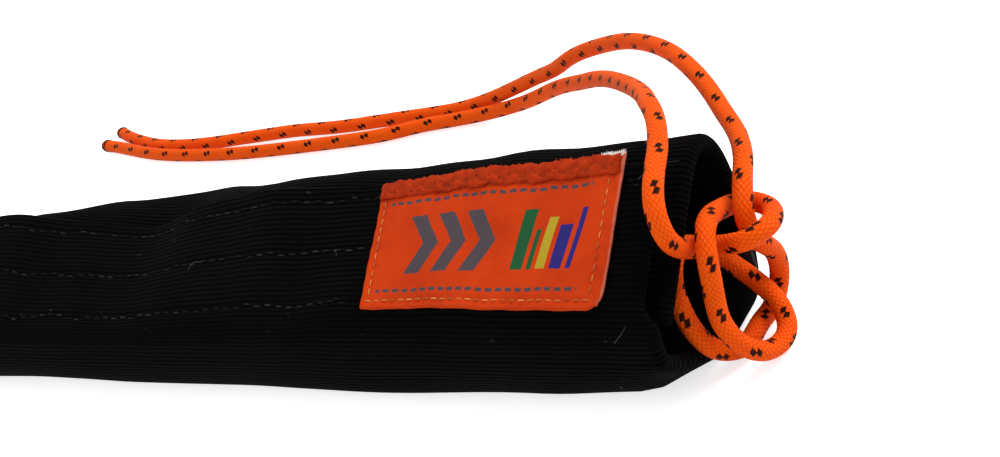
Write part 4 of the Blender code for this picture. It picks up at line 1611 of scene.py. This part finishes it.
@dataclass
class Label:
    """The orange label sewn over the closure: its cloth, its folded top and its border.

    Places on it are shares: along from the far end to the mouth, and up from bottom to top.

    Attributes:
        wrap: the cross-section along the sleeve.
        start, end: the label's two ends along the sleeve.
        low, height: its lower edge up from the lowest stitch row, and its height.
        taper, lean: how far the top edge falls and the far edge leans towards the far end.
        lift, thickness: its distance from the flap and its thickness.
        seam: how far the border's stitches are from the edges.
        band: how far the folded top reaches down.
        zigzag_pitch: the length of one wave of the row of stitches on the folded top.
        corner: how far the lower corner at the mouth is drawn in.
        thread, loose: how a stitch and a loose fibre lie on the cloth.
    """

    wrap: Wrap
    start: float = 0.1980
    end: float = 0.2430
    low: float = -0.0015
    height: float = 0.0235
    taper: float = 0.0022
    lean: float = 0.0022
    lift: float = 0.0003
    thickness: float = 0.0005
    seam: float = 0.0013
    band: float = 0.0030
    zigzag_pitch: float = 0.0036
    corner: float = 0.0007
    thread: Fibres = Fibres(radius=0.00010, arch=0.00012, sink=0.00002)
    loose: Fibres = Fibres(radius=0.00006, arch=0.00012, sink=0.0, rings=4, sides=4)

    @property
    def width(self) -> float:
        """The label's length along the sleeve."""
        return self.end - self.start

    def place(self, along: Array, up: Array, lift: Array | float) -> Array:
        """Points on the label, lifted off the flap.

        The bottom of the far edge leans in towards the mouth, the top edge falls a little
        towards the far end, and both long edges are slightly wavy. The lower corner at the mouth
        is drawn in by a bell of the distance to it, which rounds it.

        Args:
            along, up: shares of the width and of the height, arrays of one shape.
            lift: the distance from the flap's outer face.

        Returns:
            Points of that shape and three coordinates more.
        """
        from_corner = np.hypot((1 - along) * self.width, up * self.height)
        pull = self.corner * bell(from_corner, 0.0013)
        along, up = along - pull / self.width, up + pull / self.height
        x = self.start + self.width * along
        top_wave = ripple(x, ((0.00011, 0.0061, 0.2), (0.00007, 0.0023, 0.7),
                              (0.00005, 0.0013, 0.4)))
        low_wave = ripple(x, ((0.00010, 0.0210, 0.3), (0.00005, 0.0070, 0.1)))
        top = self.low + self.height - self.taper * (1 - along) + top_wave
        places = (self.low + low_wave) * (1 - up) + top * up
        x = x + self.lean * (1 - up) * (1 - along)
        depth = -np.broadcast_to(lift, along.shape)
        flat = self.wrap.closure_points(x.ravel(), places.reshape(-1, 1), depth.reshape(-1, 1))
        return flat.reshape(*along.shape, 3)

    def normal(self, along: Array) -> Array:
        """The way out of the label at these shares of its width."""
        return self.wrap.closure_normal(self.start + self.width * along)

    def quilt(self, along: Array, up: Array) -> Array:
        """How far the cloth stands up: low waves, drawn down along the border stitching.

        Args:
            along, up: shares of the width and of the height, arrays of one shape.

        Returns:
            Heights of that shape.
        """
        u, v = along * self.width, up * self.height
        level = 0.00020
        wave = 0.00012 * np.sin(TURN * (u / 0.019 + v / 0.031 + 0.2))
        wave += 0.00006 * np.sin(TURN * (u / 0.0083 - v / 0.012))
        edge = np.minimum(np.minimum(u, self.width - u), v)
        drawn = 0.00013 * bell(edge - self.seam, 0.0005)
        pucker = 0.00005 * np.sin(TURN * (u + v) / 0.0033) * bell(edge, 0.0016)
        return level + wave - drawn + pucker

    def cloth(self) -> Object:
        """The label's cloth, as one closed sheet.

        Returns:
            The linked object.
        """
        along, up = np.meshgrid(np.linspace(0, 1, 130), np.linspace(0, 1, 70), indexing="ij")
        rise = self.quilt(along, up)
        outer = self.place(along, up, self.lift + self.thickness + rise)
        inner = self.place(along, up, self.lift + 0.6 * rise)
        return slab("label_cloth", outer, inner, along[:, 0] * self.width, up[0] * self.height)

    def fold(self) -> Object:
        """The folded top: a narrow puckered band of the same cloth along the top edge.

        Its face stands up as the root of the sine of the share across it, and is drawn down in a
        wavy line where it is sewn.

        Returns:
            The linked object.
        """
        along, t = np.meshgrid(np.linspace(0.004, 0.985, 170), np.linspace(0.0, 1.0, 18),
                               indexing="ij")
        x = along * self.width
        low_edge = 1 - self.band / self.height + 0.006 * np.sin(TURN * x / 0.0052)
        up = low_edge * (1 - t) + (1.0 + 0.004 * np.sin(TURN * x / 0.0031)) * t
        middle = 0.42 + 0.16 * np.sin(TURN * x / self.zigzag_pitch)
        sewn = 0.00020 * bell(t - middle, 0.14)
        rise = 0.00040 * np.sin(math.pi * (0.06 + 0.9 * t)) ** 0.5
        base = self.lift + self.thickness + 0.00016
        outer = self.place(along, up, base + 0.00022 + rise - sewn)
        inner = self.place(along, up, base)
        return slab("label_fold", outer, inner, along[:, 0] * self.width, up[0] * self.height)

    def rows(self, step: float) -> tuple[Array, Array]:
        """The border's stitches, along the foot and up both ends.

        Args:
            step: the distance between two stitches.

        Returns:
            Their places as shares, shape (n, 2), and whether each runs along X (1) or up (0).
        """
        inset, under_band = self.seam, 0.0006
        u = np.arange(inset, self.width - inset, step)
        v = np.arange(inset + step, self.height - self.band - under_band, step)
        sides = (
            (u, np.full_like(u, inset), 1.0),
            (np.full_like(v, inset), v, 0.0),
            (np.full_like(v, self.width - 1.5 * inset), v, 0.0),
        )
        places = np.concatenate([np.stack([a, b], axis=1) for a, b, _ in sides])
        runs = np.concatenate([np.full(len(a), run) for a, _, run in sides])
        return places / [self.width, self.height], runs

    def sewn(self, name: str, places: Array, runs: Array, length: float, lift: float,
             seed: int) -> Object:
        """A row of stitches on the label.

        Args:
            name: the piece's name.
            places: shares of the width and of the height, shape (n, 2).
            runs: how far each stitch runs along X (1) or up (0).
            length, lift: a stitch's length, and its height above the cloth's lowest face.
            seed: the seed of the shades.

        Returns:
            The linked object.
        """
        random = np.random.default_rng(seed)
        height = self.lift + self.thickness + lift
        ahead = 0.0003
        step = np.stack([runs, 1 - runs], axis=1) * ahead / [self.width, self.height]
        spots = self.place(*places.T, height)
        ways = unit(self.place(*(places + step).T, height) - spots)
        return self.thread.build(name, spots, ways, self.normal(places[:, 0]), length,
                                 random.random(len(spots)))

    def zigzag(self) -> tuple[Array, Array]:
        """The wavy row of stitches on the folded top.

        Returns:
            Their places as shares, shape (n, 2), and how far each runs along X.
        """
        margin, step, swing = 0.0012, 0.0009, 0.00048
        u = np.arange(margin, self.width - margin, step)
        wave = np.sin(TURN * u / self.zigzag_pitch)
        v = self.height - 0.58 * self.band + swing * wave
        return np.stack([u / self.width, v / self.height], axis=1), 0.5 + 0.5 * np.abs(wave)

    def fray(self, name: str, count: int, low: float, high: float, length: float,
             seed: int) -> Object:
        """Loose fibres that stand up past the top edge.

        Args:
            name: the piece's name.
            count: how many there are.
            low, high: the shares of the width between which they stand.
            length: the longest one's length.
            seed: the seed of their places and ways.

        Returns:
            The linked object.
        """
        random = np.random.default_rng(seed)
        along = random.uniform(low, high, count)
        spots = self.place(along, 1.0 + random.normal(0, 0.005, count),
                           self.lift + self.thickness + 0.0002)
        normal = self.normal(along)
        tilt = np.arctan2(-normal[:, 1], normal[:, 2])
        up = np.stack([random.normal(0.0, 0.8, count), np.cos(tilt), np.sin(tilt)], axis=1)
        way = unit(up + normal * random.uniform(-0.2, 0.5, (count, 1)))
        across = unit(np.cross(way, np.cross(normal, way)))
        lengths = random.uniform(0.5, 1.0, count) * length
        return self.loose.build(name, spots, way, across, lengths, random.random(count))

    def build(self, cloth: Material, thread: Material, brown: Material, white: Material,
              fuzz: Material) -> None:
        """Make the label with its fold, its border and its frayed corner.

        Args:
            cloth: the finish of the cloth.
            thread, brown: the threads of the border and of the folded top.
            white, fuzz: the loose fibres at the corner and along the edge.
        """
        patch = self.cloth()
        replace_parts(dress(patch, cloth, Slot.LABEL, Body.FLAP), "label")
        border, waves = self.rows(0.00165), self.zigzag()
        pieces = {
            self.fold(): cloth,
            self.sewn("label_border_stitches", *border, 0.0011, 0.00014, 21): thread,
            self.sewn("label_fold_stitches", *waves, 0.0007, 0.00046, 23): brown,
            self.fray("label_fray_corner", 170, 0.915, 0.998, 0.0012, 9): white,
            self.fray("label_fray_edge", 190, 0.01, 0.93, 0.0006, 13): fuzz,
        }
        for item, material in pieces.items():
            dress(item, material, Slot.LABEL, Body.FLAP)
        log.info("label: %.0f by %.1f mm", 1000 * self.width, 1000 * self.height)


# The cord


@dataclass(frozen=True)
class CordSizes:
    """The cord's sizes and the round opening, the bore, that it is hitched round.

    Attributes:
        diameter: the cord's thickness.
        bore: the opening's width.
        slack: the least distance between the cord and the bore.
        clearance: the least distance between the cord and the ground.
        hitch_reach: how far the hitch's middle is from the mouth.
        wind_gap: the least distance between two strands.
        wind_step: the distance between the points of the hitch's line.
    """

    diameter: float = 0.0030
    bore: float = 0.0120
    slack: float = 0.0002
    clearance: float = 0.0003
    hitch_reach: float = 0.0053
    wind_gap: float = 0.0010
    wind_step: float = 0.0021

    @property
    def radius(self) -> float:
        """The cord's radius."""
        return self.diameter / 2

    @property
    def wind_radius(self) -> float:
        """The radius of the cord's middle line round the bore."""
        return self.bore / 2 + self.slack + self.radius

    @property
    def bore_z(self) -> float:
        """The height of the bore's middle."""
        return self.wind_radius + self.radius + self.clearance


# The hitch from the mouth's middle: (x, y, z), and in WRAPS the turn round the bore in degrees,
# x and how far the strand stands off it. The tails are (x, y, z) from the hitch on the ground.
LEAD_IN: Route = (
    (-0.0055, 0.0002, 0.0237), (-0.0045, -0.0026, 0.0233), (-0.0034, -0.0056, 0.0226),
    (-0.0024, -0.0080, 0.0209), (-0.0017, -0.0089, 0.0184), (-0.0016, -0.0080, 0.0158),
    (-0.0018, -0.0058, 0.0133), (-0.0018, -0.0030, 0.0111), (-0.0012, -0.0006, 0.0097),
)
BIGHT: Route = (
    (0.0008, 0.0002, 0.0092), (0.0030, -0.0002, 0.0097), (0.0052, -0.0004, 0.0104),
    (0.0068, 0.0008, 0.0109), (0.0070, 0.0034, 0.0107), (0.0056, 0.0066, 0.0103),
    (0.0032, 0.0088, 0.0100), (0.0006, 0.0094, 0.0102), (-0.0014, 0.0078, 0.0109),
    (-0.0022, 0.0046, 0.0120), (-0.0022, 0.0008, 0.0132),
)
WRAPS: Route = (
    (-15, -0.0016, 0.0056), (-28, -0.0012, 0.0040), (-40, -0.0010, 0.0021),
    (-52, -0.0011, 0.0006), (-66, -0.0010, 0.0), (-82, -0.0005, 0.0), (-102, 0.0005, 0.0),
    (-123, 0.0016, 0.0), (-145, 0.0026, 0.0), (-167, 0.0033, 0.0), (-189, 0.0036, 0.0),
    (-211, 0.0026, 0.0), (-232, 0.0005, 0.0), (-252, -0.0022, 0.0), (-272, -0.0048, 0.0),
    (-293, -0.0064, 0.0), (-315, -0.0074, 0.0), (-337, -0.0079, 0.0), (-358, -0.0080, 0.0),
    (-380, -0.0074, 0.0), (-399, -0.0067, 0.0), (-417, -0.0058, 0.0), (-436, -0.0048, 0.0),
    (-454, -0.0039, 0.0), (-474, -0.0030, 0.0), (-495, -0.0020, 0.0), (-517, -0.0008, 0.0),
    (-538, 0.0000, 0.0006), (-558, 0.0002, 0.0020), (-577, 0.0007, 0.0036),
    (-593, 0.0013, 0.0040), (-610, 0.0020, 0.0034), (-630, 0.0026, 0.0020),
    (-650, 0.0029, 0.0006), (-670, 0.0029, 0.0001), (-684, 0.0028, 0.0006),
)
LEAD_OUT: Route = (
    (0.0029, 0.0043, 0.0088), (0.0028, 0.0043, 0.0106), (0.0026, 0.0053, 0.0126),
    (0.0020, 0.0076, 0.0141), (0.0010, 0.0106, 0.0147),
)
LEFT_TAIL: Route = (
    (-0.0127, 0.0144, 0.0342), (-0.0175, 0.0215, 0.0320), (-0.0227, 0.0283, 0.0296),
    (-0.0282, 0.0348, 0.0272), (-0.0340, 0.0411, 0.0248), (-0.0400, 0.0472, 0.0223),
    (-0.0463, 0.0529, 0.0196), (-0.0528, 0.0581, 0.0166), (-0.0596, 0.0631, 0.0137),
    (-0.0667, 0.0673, 0.0107), (-0.0740, 0.0711, 0.0073), (-0.0818, 0.0741, 0.0044),
    (-0.0904, 0.0755, 0.0025), (-0.0992, 0.0754, 0.0017), (-0.1079, 0.0739, 0.0017),
    (-0.1164, 0.0714, 0.0017), (-0.1252, 0.0703, 0.0017), (-0.1341, 0.0696, 0.0017),
    (-0.1429, 0.0691, 0.0017), (-0.1518, 0.0687, 0.0017), (-0.1607, 0.0687, 0.0017),
    (-0.1695, 0.0692, 0.0017), (-0.1784, 0.0701, 0.0017), (-0.1871, 0.0715, 0.0017),
    (-0.1957, 0.0737, 0.0017), (-0.2042, 0.0763, 0.0017), (-0.2128, 0.0786, 0.0017),
)
RIGHT_TAIL: Route = (
    (-0.0044, 0.0215, 0.0247), (-0.0098, 0.0288, 0.0256), (-0.0156, 0.0357, 0.0268),
    (-0.0219, 0.0423, 0.0273), (-0.0286, 0.0484, 0.0268), (-0.0359, 0.0539, 0.0256),
    (-0.0432, 0.0589, 0.0235), (-0.0508, 0.0633, 0.0208), (-0.0587, 0.0668, 0.0178),
    (-0.0661, 0.0702, 0.0138), (-0.0739, 0.0737, 0.0105), (-0.0820, 0.0763, 0.0073),
    (-0.0904, 0.0785, 0.0043), (-0.0992, 0.0795, 0.0022), (-0.1083, 0.0791, 0.0017),
    (-0.1174, 0.0783, 0.0017), (-0.1265, 0.0774, 0.0017), (-0.1356, 0.0769, 0.0017),
    (-0.1448, 0.0771, 0.0017), (-0.1539, 0.0765, 0.0017), (-0.1630, 0.0756, 0.0017),
    (-0.1721, 0.0748, 0.0017), (-0.1812, 0.0749, 0.0017), (-0.1905, 0.0762, 0.0017),
    (-0.1995, 0.0790, 0.0017), (-0.2080, 0.0826, 0.0017), (-0.2125, 0.0850, 0.0017),
)


@dataclass
class AccessoryCord:
    """The cord: a hitch round the bore in front of the mouth, and two free tails.

    Attributes:
        sizes: the cord's sizes.
        mouth: the mouth's place along the sleeve.
        settle_rounds: how often the strands are pushed apart.
        settle_share, return_share: how far each round evens the pushes out, and how far it
            brings the cord back to the line as drawn.
        sides, ring_step: the points in a ring and the distance between two rings.
        route_step: the distance between the points of a tail's line.
    """

    sizes: CordSizes = field(default_factory=CordSizes)
    mouth: float = 0.250
    settle_rounds: int = 600
    settle_share: float = 0.6
    return_share: float = 0.005
    sides: int = 48
    ring_step: float = 0.00032
    route_step: float = 0.0075

    @property
    def hitch_x(self) -> float:
        """The hitch's middle along X."""
        return self.mouth + self.sizes.hitch_reach

    def hitch_line(self) -> Array:
        """The hitch's middle line: drawn, then settled so that no strand crosses another.

        In each round, strands nearer than a diameter and the gap are pushed apart by half of
        what lacks, the pushes are evened out along the cord, and the cord is kept outside the
        bore and above the ground.

        Returns:
            Points of shape (n, 3).
        """
        s = self.sizes
        turns, x, off = np.array(WRAPS).T
        angle, radius = np.radians(turns), s.wind_radius + off
        wound = np.stack([x, radius * np.sin(angle), radius * np.cos(angle)], axis=1)
        drawn = np.concatenate([LEAD_IN, BIGHT, wound, LEAD_OUT])
        line = natural_spline(drawn + [self.hitch_x, 0.0, s.bore_z], s.wind_step)
        start = line.copy()
        apart = s.diameter + s.wind_gap
        low, high = np.triu_indices(len(line), 1)
        away = (high - low) * s.wind_step > 2.6 * apart
        low, high = low[away], high[away]
        for _ in range(self.settle_rounds):
            reach = line[high] - line[low]
            distance = np.linalg.norm(reach, axis=1)
            near = distance < apart
            push = reach[near] / distance[near][:, None] * ((apart - distance[near]) / 2)[:, None]
            np.add.at(line, low[near], -push)
            np.add.at(line, high[near], push)
            shift = line - start
            shift[1:-1] += self.settle_share * ((shift[:-2] + shift[2:]) / 2 - shift[1:-1])
            shift[0] = shift[1] / 2
            shift[-1] = shift[-2] / 2
            line = start + shift * (1 - self.return_share)
            out = line[:, 1:] - [0.0, s.bore_z]
            grow = np.maximum(s.wind_radius / np.linalg.norm(out, axis=1), 1.0)
            line[:, 1:] = [0.0, s.bore_z] + out * grow[:, None]
            line[:, 2] = np.maximum(line[:, 2], s.radius + s.clearance)
        first, last = (end + unit(end - before) * s.diameter
                       for end, before in (line[:2], line[:-3:-1]))
        return np.concatenate([[first], line, [last]])

    def tail_line(self, end: Array, before: Array, route: Route) -> Array:
        """A tail's middle line: straight on from the hitch's end, then along its route.

        Args:
            end, before: the last point of the hitch at this tail and the one before it.
            route: the tail's points from the hitch on.

        Returns:
            Points of shape (n, 3).
        """
        way = unit(end - before)
        first = end + way * self.sizes.clearance
        points = np.array(route) + [self.hitch_x, 0.0, 0.0]
        lead = [first, first + way * self.sizes.diameter]
        return natural_spline(np.concatenate([lead, points]), self.route_step)

    def whole_line(self) -> tuple[Array, int, int]:
        """The middle line of the whole cord, from the left tip to the right one.

        Returns:
            Evenly spaced points of shape (n, 3), and the numbers of the hitch's first and last
            one.
        """
        hitch = self.hitch_line()
        left = self.tail_line(hitch[0], hitch[1], LEFT_TAIL)
        right = self.tail_line(hitch[-1], hitch[-2], RIGHT_TAIL)
        line = natural_spline(np.concatenate([left[:0:-1], hitch, right[1:]]), self.ring_step)
        first, last = (int(np.linalg.norm(line - hitch[k], axis=1).argmin()) for k in (0, -1))
        return line, first, last

    def rings(self, line: Array) -> Array:
        """The braid's rings round the whole cord.

        The radius is that of the cord, raised on the plaits by two crossing waves of the place
        along and round it, and drawn in to a rounded end at both tips.

        Args:
            line: the whole cord's middle line, shape (n, 3).

        Returns:
            Points of shape (n, sides, 3).
        """
        sunk, relief, tip = 0.00004, 0.00007, 0.0012
        along = distances(line)[:, None]
        girth = TURN * self.sizes.radius
        v = np.arange(self.sides)[None] / self.sides * girth
        turns = [(v + way * SLANT * along) / girth * PLAITS for way in (1, -1)]
        over = (np.floor(turns[0]) + np.floor(turns[1])) % 2 > 0.5
        waves = [np.abs(np.sin(math.pi * turn)) for turn in turns]
        plait = np.where(over, *waves) ** 0.6 * (0.45 + 0.55 * waves[0] * waves[1])
        radius = self.sizes.radius - sunk + relief * plait
        back = np.minimum(along, along[-1] - along)
        round_off = np.sqrt(np.clip(1 - (1 - back / tip).clip(0, 1) ** 2, 0.03, 1))
        return tube_rings(line, radius * round_off)

    def build(self, sheath: Material, seal: Material) -> None:
        """Args:
            sheath, seal: the finishes of the braid and of the melted tips.
        """
        line, first, last = self.whole_line()
        rings, along = self.rings(line), distances(line)
        stretches = {
            "hitch": slice(first, last + 1),
            "left": slice(0, first + 1),
            "right": slice(last, len(line)),
        }
        for part, stretch in stretches.items():
            item = closed_tube(f"cord_{part}_braid", line[stretch], rings[stretch],
                               along[stretch], TURN * self.sizes.radius)
            dress(item, sheath, Slot.CORD, Body.SLEEVE)
            if part == "hitch":
                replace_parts(item, "cord_hitch")
                continue
            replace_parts(item, f"cord_tail_{part}")
            way_out = line[stretch][:: -1 if part == "left" else 1]
            sealed = self.sealed_tip(f"cord_{part}_tip", way_out)
            dress(sealed, seal, Slot.CORD, Body.SLEEVE)

    def sealed_tip(self, name: str, line: Array) -> Object:
        """The melted end of a tail: a short lumpy cap, a little thicker than the braid.

        Args:
            name: the piece's name.
            line: the tail's middle line, from the hitch to its tip.

        Returns:
            The linked object.
        """
        count, sides, girth = 9, 16, 0.0094
        line = line[-count:] + (line[-1] - line[-2]) * 0.4
        back = np.linspace(1.0, 0.0, count)[:, None]
        bead = 1.05 * np.sqrt(np.clip(1 - (1 - back) ** 5 * 0.85, 0.05, 1))
        lump = 1 + 0.04 * np.sin(np.arange(sides)[None] * 2 * TURN / sides + back * 5)
        rings = tube_rings(line, self.sizes.radius * bead * lump)
        return closed_tube(name, line, rings, distances(line), girth)


@dataclass
class Keeper:
    """The webbing tab sewn inside the mouth that holds the hitch's rear strand."""

    node: str = "cord_keeper"

    def build(self, webbing: Material) -> None:
        """Dress the tab's solid: its shape is right as it is.

        Args:
            webbing: its finish.
        """
        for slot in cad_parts[self.node].material_slots:
            slot.material = webbing
        low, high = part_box(self.node)
        log.info("keeper: %.1f mm long", 1000 * (high[0] - low[0]))


@dataclass
class LooseThreads:
    """A few thread ends that stand off the seams and the mouth.

    Attributes:
        wrap: the cross-section along the sleeve.
        radius, sides: a hair's radius at its root and the points in a ring.
        step: the distance between two rings, and how far the map runs round a hair.
        shade: how light the hairs are.
        ends: where two stitches of the middle row have loose ends.
    """

    wrap: Wrap
    radius: float = 0.00007
    sides: int = 5
    step: float = 0.0005
    shade: float = 0.8
    ends: tuple[float, float] = (0.1905, 0.1600)

    def whisker(self, name: str, points: Sequence[Sequence[float]]) -> Object:
        """A thin hair of thread along a smooth line, half as thick at its tip.

        Args:
            name: the piece's name.
            points: the line's points.

        Returns:
            The linked object.
        """
        line = natural_spline(points, self.step)
        thin = np.full((len(line), self.sides), self.radius)
        rings = tube_rings(line, thin * np.linspace(1.0, 0.5, len(line))[:, None])
        v = np.linspace(0.0, self.step, self.sides + 1)
        quads, places = Patch(rings, distances(line), v, around=True).faces()
        return mesh_object(name, rings.reshape(-1, 3), quads[:, ::-1], places[:, ::-1],
                           end_polygons(len(line), self.sides),
                           np.full(rings.shape[:2], self.shade))

    def build(self, thread: Material) -> None:
        """Place the hairs: at the flap's upper corner, on its near side and at two stitch ends.

        Args:
            thread: the thread's finish.
        """
        middle, above = self.wrap.stitch_rows[1], -0.0002
        first, second = self.wrap.closure_points(np.array(self.ends), np.array([middle]),
                                                 above)[:, 0]
        hairs = {
            "lip_thread": ((0.2462, -0.0005, 0.0307), (0.2475, 0.0013, 0.0312),
                           (0.2488, 0.0036, 0.0307), (0.2500, 0.0054, 0.0298)),
            "foot_thread": ((0.2448, -0.0179, 0.0150), (0.2456, -0.0179, 0.0158),
                            (0.2464, -0.0177, 0.0165), (0.2470, -0.0172, 0.0173)),
            "seam_thread_1": (first, first + [0.0012, -0.0008, 0.0006],
                              first + [0.0022, -0.0021, 0.0003]),
            "seam_thread_2": (second, second + [-0.0010, -0.0009, 0.0005],
                              second + [-0.0013, -0.0024, 0.0000]),
        }
        for name, points in hairs.items():
            dress(self.whisker(name, points), thread, Slot.CANVAS, Body.FLAP)
        log.info("loose threads: %d", len(hairs))


# The studio


@dataclass(frozen=True)
class Lamp:
    """A square soft light at a place, which points at another."""

    name: str
    place: Place
    aim: Place
    size: float
    watts: float
    colour: Colour

    def build(self) -> None:
        """Hang the lamp."""
        data = bpy.data.lights.new(self.name, "AREA")
        data.size = self.size
        data.energy = self.watts
        data.color = self.colour
        item = bpy.data.objects.new(self.name, data)
        item.location = self.place
        way = Vector(self.aim) - Vector(self.place)
        item.rotation_euler = way.to_track_quat("-Z", "Y").to_euler()
        bpy.context.scene.collection.objects.link(item)


@dataclass
class Studio:
    """The camera, the pale table and the soft light.

    Attributes:
        place: the camera's place.
        right, up, back: its axes.
        lens, sensor: its focal length and its sensor's width, in millimetres.
        clip: the nearest and the farthest distance that it sees.
        reach: how far the table reaches to each side.
        drop: how far the table lies under the object.
        light: the strength of the surroundings, and what is added where they are seen.
        lamps: the soft lights.
    """

    place: Place = (0.3597, -0.1679, 0.1339)
    right: Place = (0.81855, 0.45531, -0.35024)
    up: Place = (0.03396, 0.57029, 0.82074)
    back: Place = (0.57343, -0.68371, 0.45135)
    lens: float = 57.6
    sensor: float = 36.0
    clip: tuple[float, float] = (0.01, 50.0)
    reach: float = 4.0
    drop: float = 0.0002
    light: tuple[float, float] = (0.50, 0.50)
    lamps: tuple[Lamp, ...] = (
        Lamp("key", (0.75, 0.55, 0.95), (0.20, 0.02, 0.0), 0.7, 11.2, (1.0, 0.98, 0.95)),
        Lamp("fill", (-0.35, -0.75, 0.70), (0.15, 0.0, 0.0), 0.9, 3.6, (0.95, 0.97, 1.0)),
    )

    def camera(self) -> None:
        """The camera, at the photograph's viewing angle."""
        data = bpy.data.cameras.new("camera")
        data.sensor_fit = "HORIZONTAL"
        data.sensor_width = self.sensor
        data.lens = self.lens
        data.clip_start, data.clip_end = self.clip
        item = bpy.data.objects.new("camera", data)
        axes = Matrix((self.right, self.up, self.back)).transposed().to_4x4()
        item.matrix_world = Matrix.Translation(Vector(self.place)) @ axes
        bpy.context.scene.collection.objects.link(item)
        bpy.context.scene.camera = item
        log.info("camera: %.1f mm lens", self.lens)

    def floor(self) -> None:
        """The pale table, far wider than the view."""
        corners = np.array([[-1, -1], [1, -1], [1, 1], [-1, 1]]) * self.reach
        points = np.concatenate([corners, np.full((4, 1), -self.drop)], axis=1)
        item = mesh_object("table", points, np.array([[0, 1, 2, 3]]))
        dress(item, PaleFloor().build())

    def world(self) -> None:
        """Even white surroundings: plain light, and white where they are seen or mirrored."""
        world = bpy.data.worlds.new("surroundings")
        bpy.context.scene.world = world
        g = Graph(world, "Background")
        plain, added = self.light
        g.put((1.0, 1.0, 1.0, 1.0), g.shader.inputs["Color"])
        g.put(g.math("MULTIPLY_ADD", g.seen(), added, plain), g.shader.inputs["Strength"])

    def build(self) -> None:
        """Set the light, the table and the view transform."""
        for lamp in self.lamps:
            lamp.build()
        self.floor()
        self.world()
        bpy.context.scene.view_settings.view_transform = "Standard"
        log.info("studio: table, two soft lights and white surroundings")


def main() -> None:
    """Build every sub-assembly in order."""
    logging.basicConfig(level=logging.INFO, format="%(name)s: %(message)s")
    wrap = Wrap()
    studio = Studio()
    studio.camera()
    sheath = BraidedSheath("braided_sheath").build()
    seal = SewnThread("sealed_end", (0.05, 0.010, 0.006), (0.20, 0.035, 0.012)).build()
    AccessoryCord().build(sheath, seal)
    grey_thread = SewnThread("grey_thread", (0.003, 0.003, 0.004), (0.032, 0.031, 0.038)).build()
    Canvas(wrap).build(RibbedCanvas("panel_canvas").build(), RibbedCanvas("flap_canvas").build())
    ClosureTapes(wrap).build(Plush("hook_tape", (0.006, 0.006, 0.007), 900.0).build(),
                             Plush("loop_tape", (0.005, 0.005, 0.006), 1500.0).build())
    Stitching(wrap).build(grey_thread)
    label = Label(wrap)
    label.build(
        LabelCloth(label.width, label.height, label.band).build(),
        SewnThread("label_thread", (0.26, 0.030, 0.008), (0.78, 0.36, 0.10)).build(),
        SewnThread("fold_thread", (0.10, 0.020, 0.008), (0.30, 0.055, 0.015)).build(),
        SewnThread("white_fray", (0.55, 0.45, 0.42), (0.95, 0.90, 0.88)).build(),
        SewnThread("label_fuzz", (0.42, 0.030, 0.006), (0.80, 0.085, 0.015)).build(),
    )
    Keeper().build(Webbing().build())
    # the hairs take a lighter copy of grey_thread: a painted highlight on the thread ends that
    # stand off the cloth
    LooseThreads(wrap).build(
        SewnThread("loose_thread", (0.003, 0.003, 0.004), (0.060, 0.060, 0.072)).build())
    studio.build()


if __name__ == "__main__":
    main()
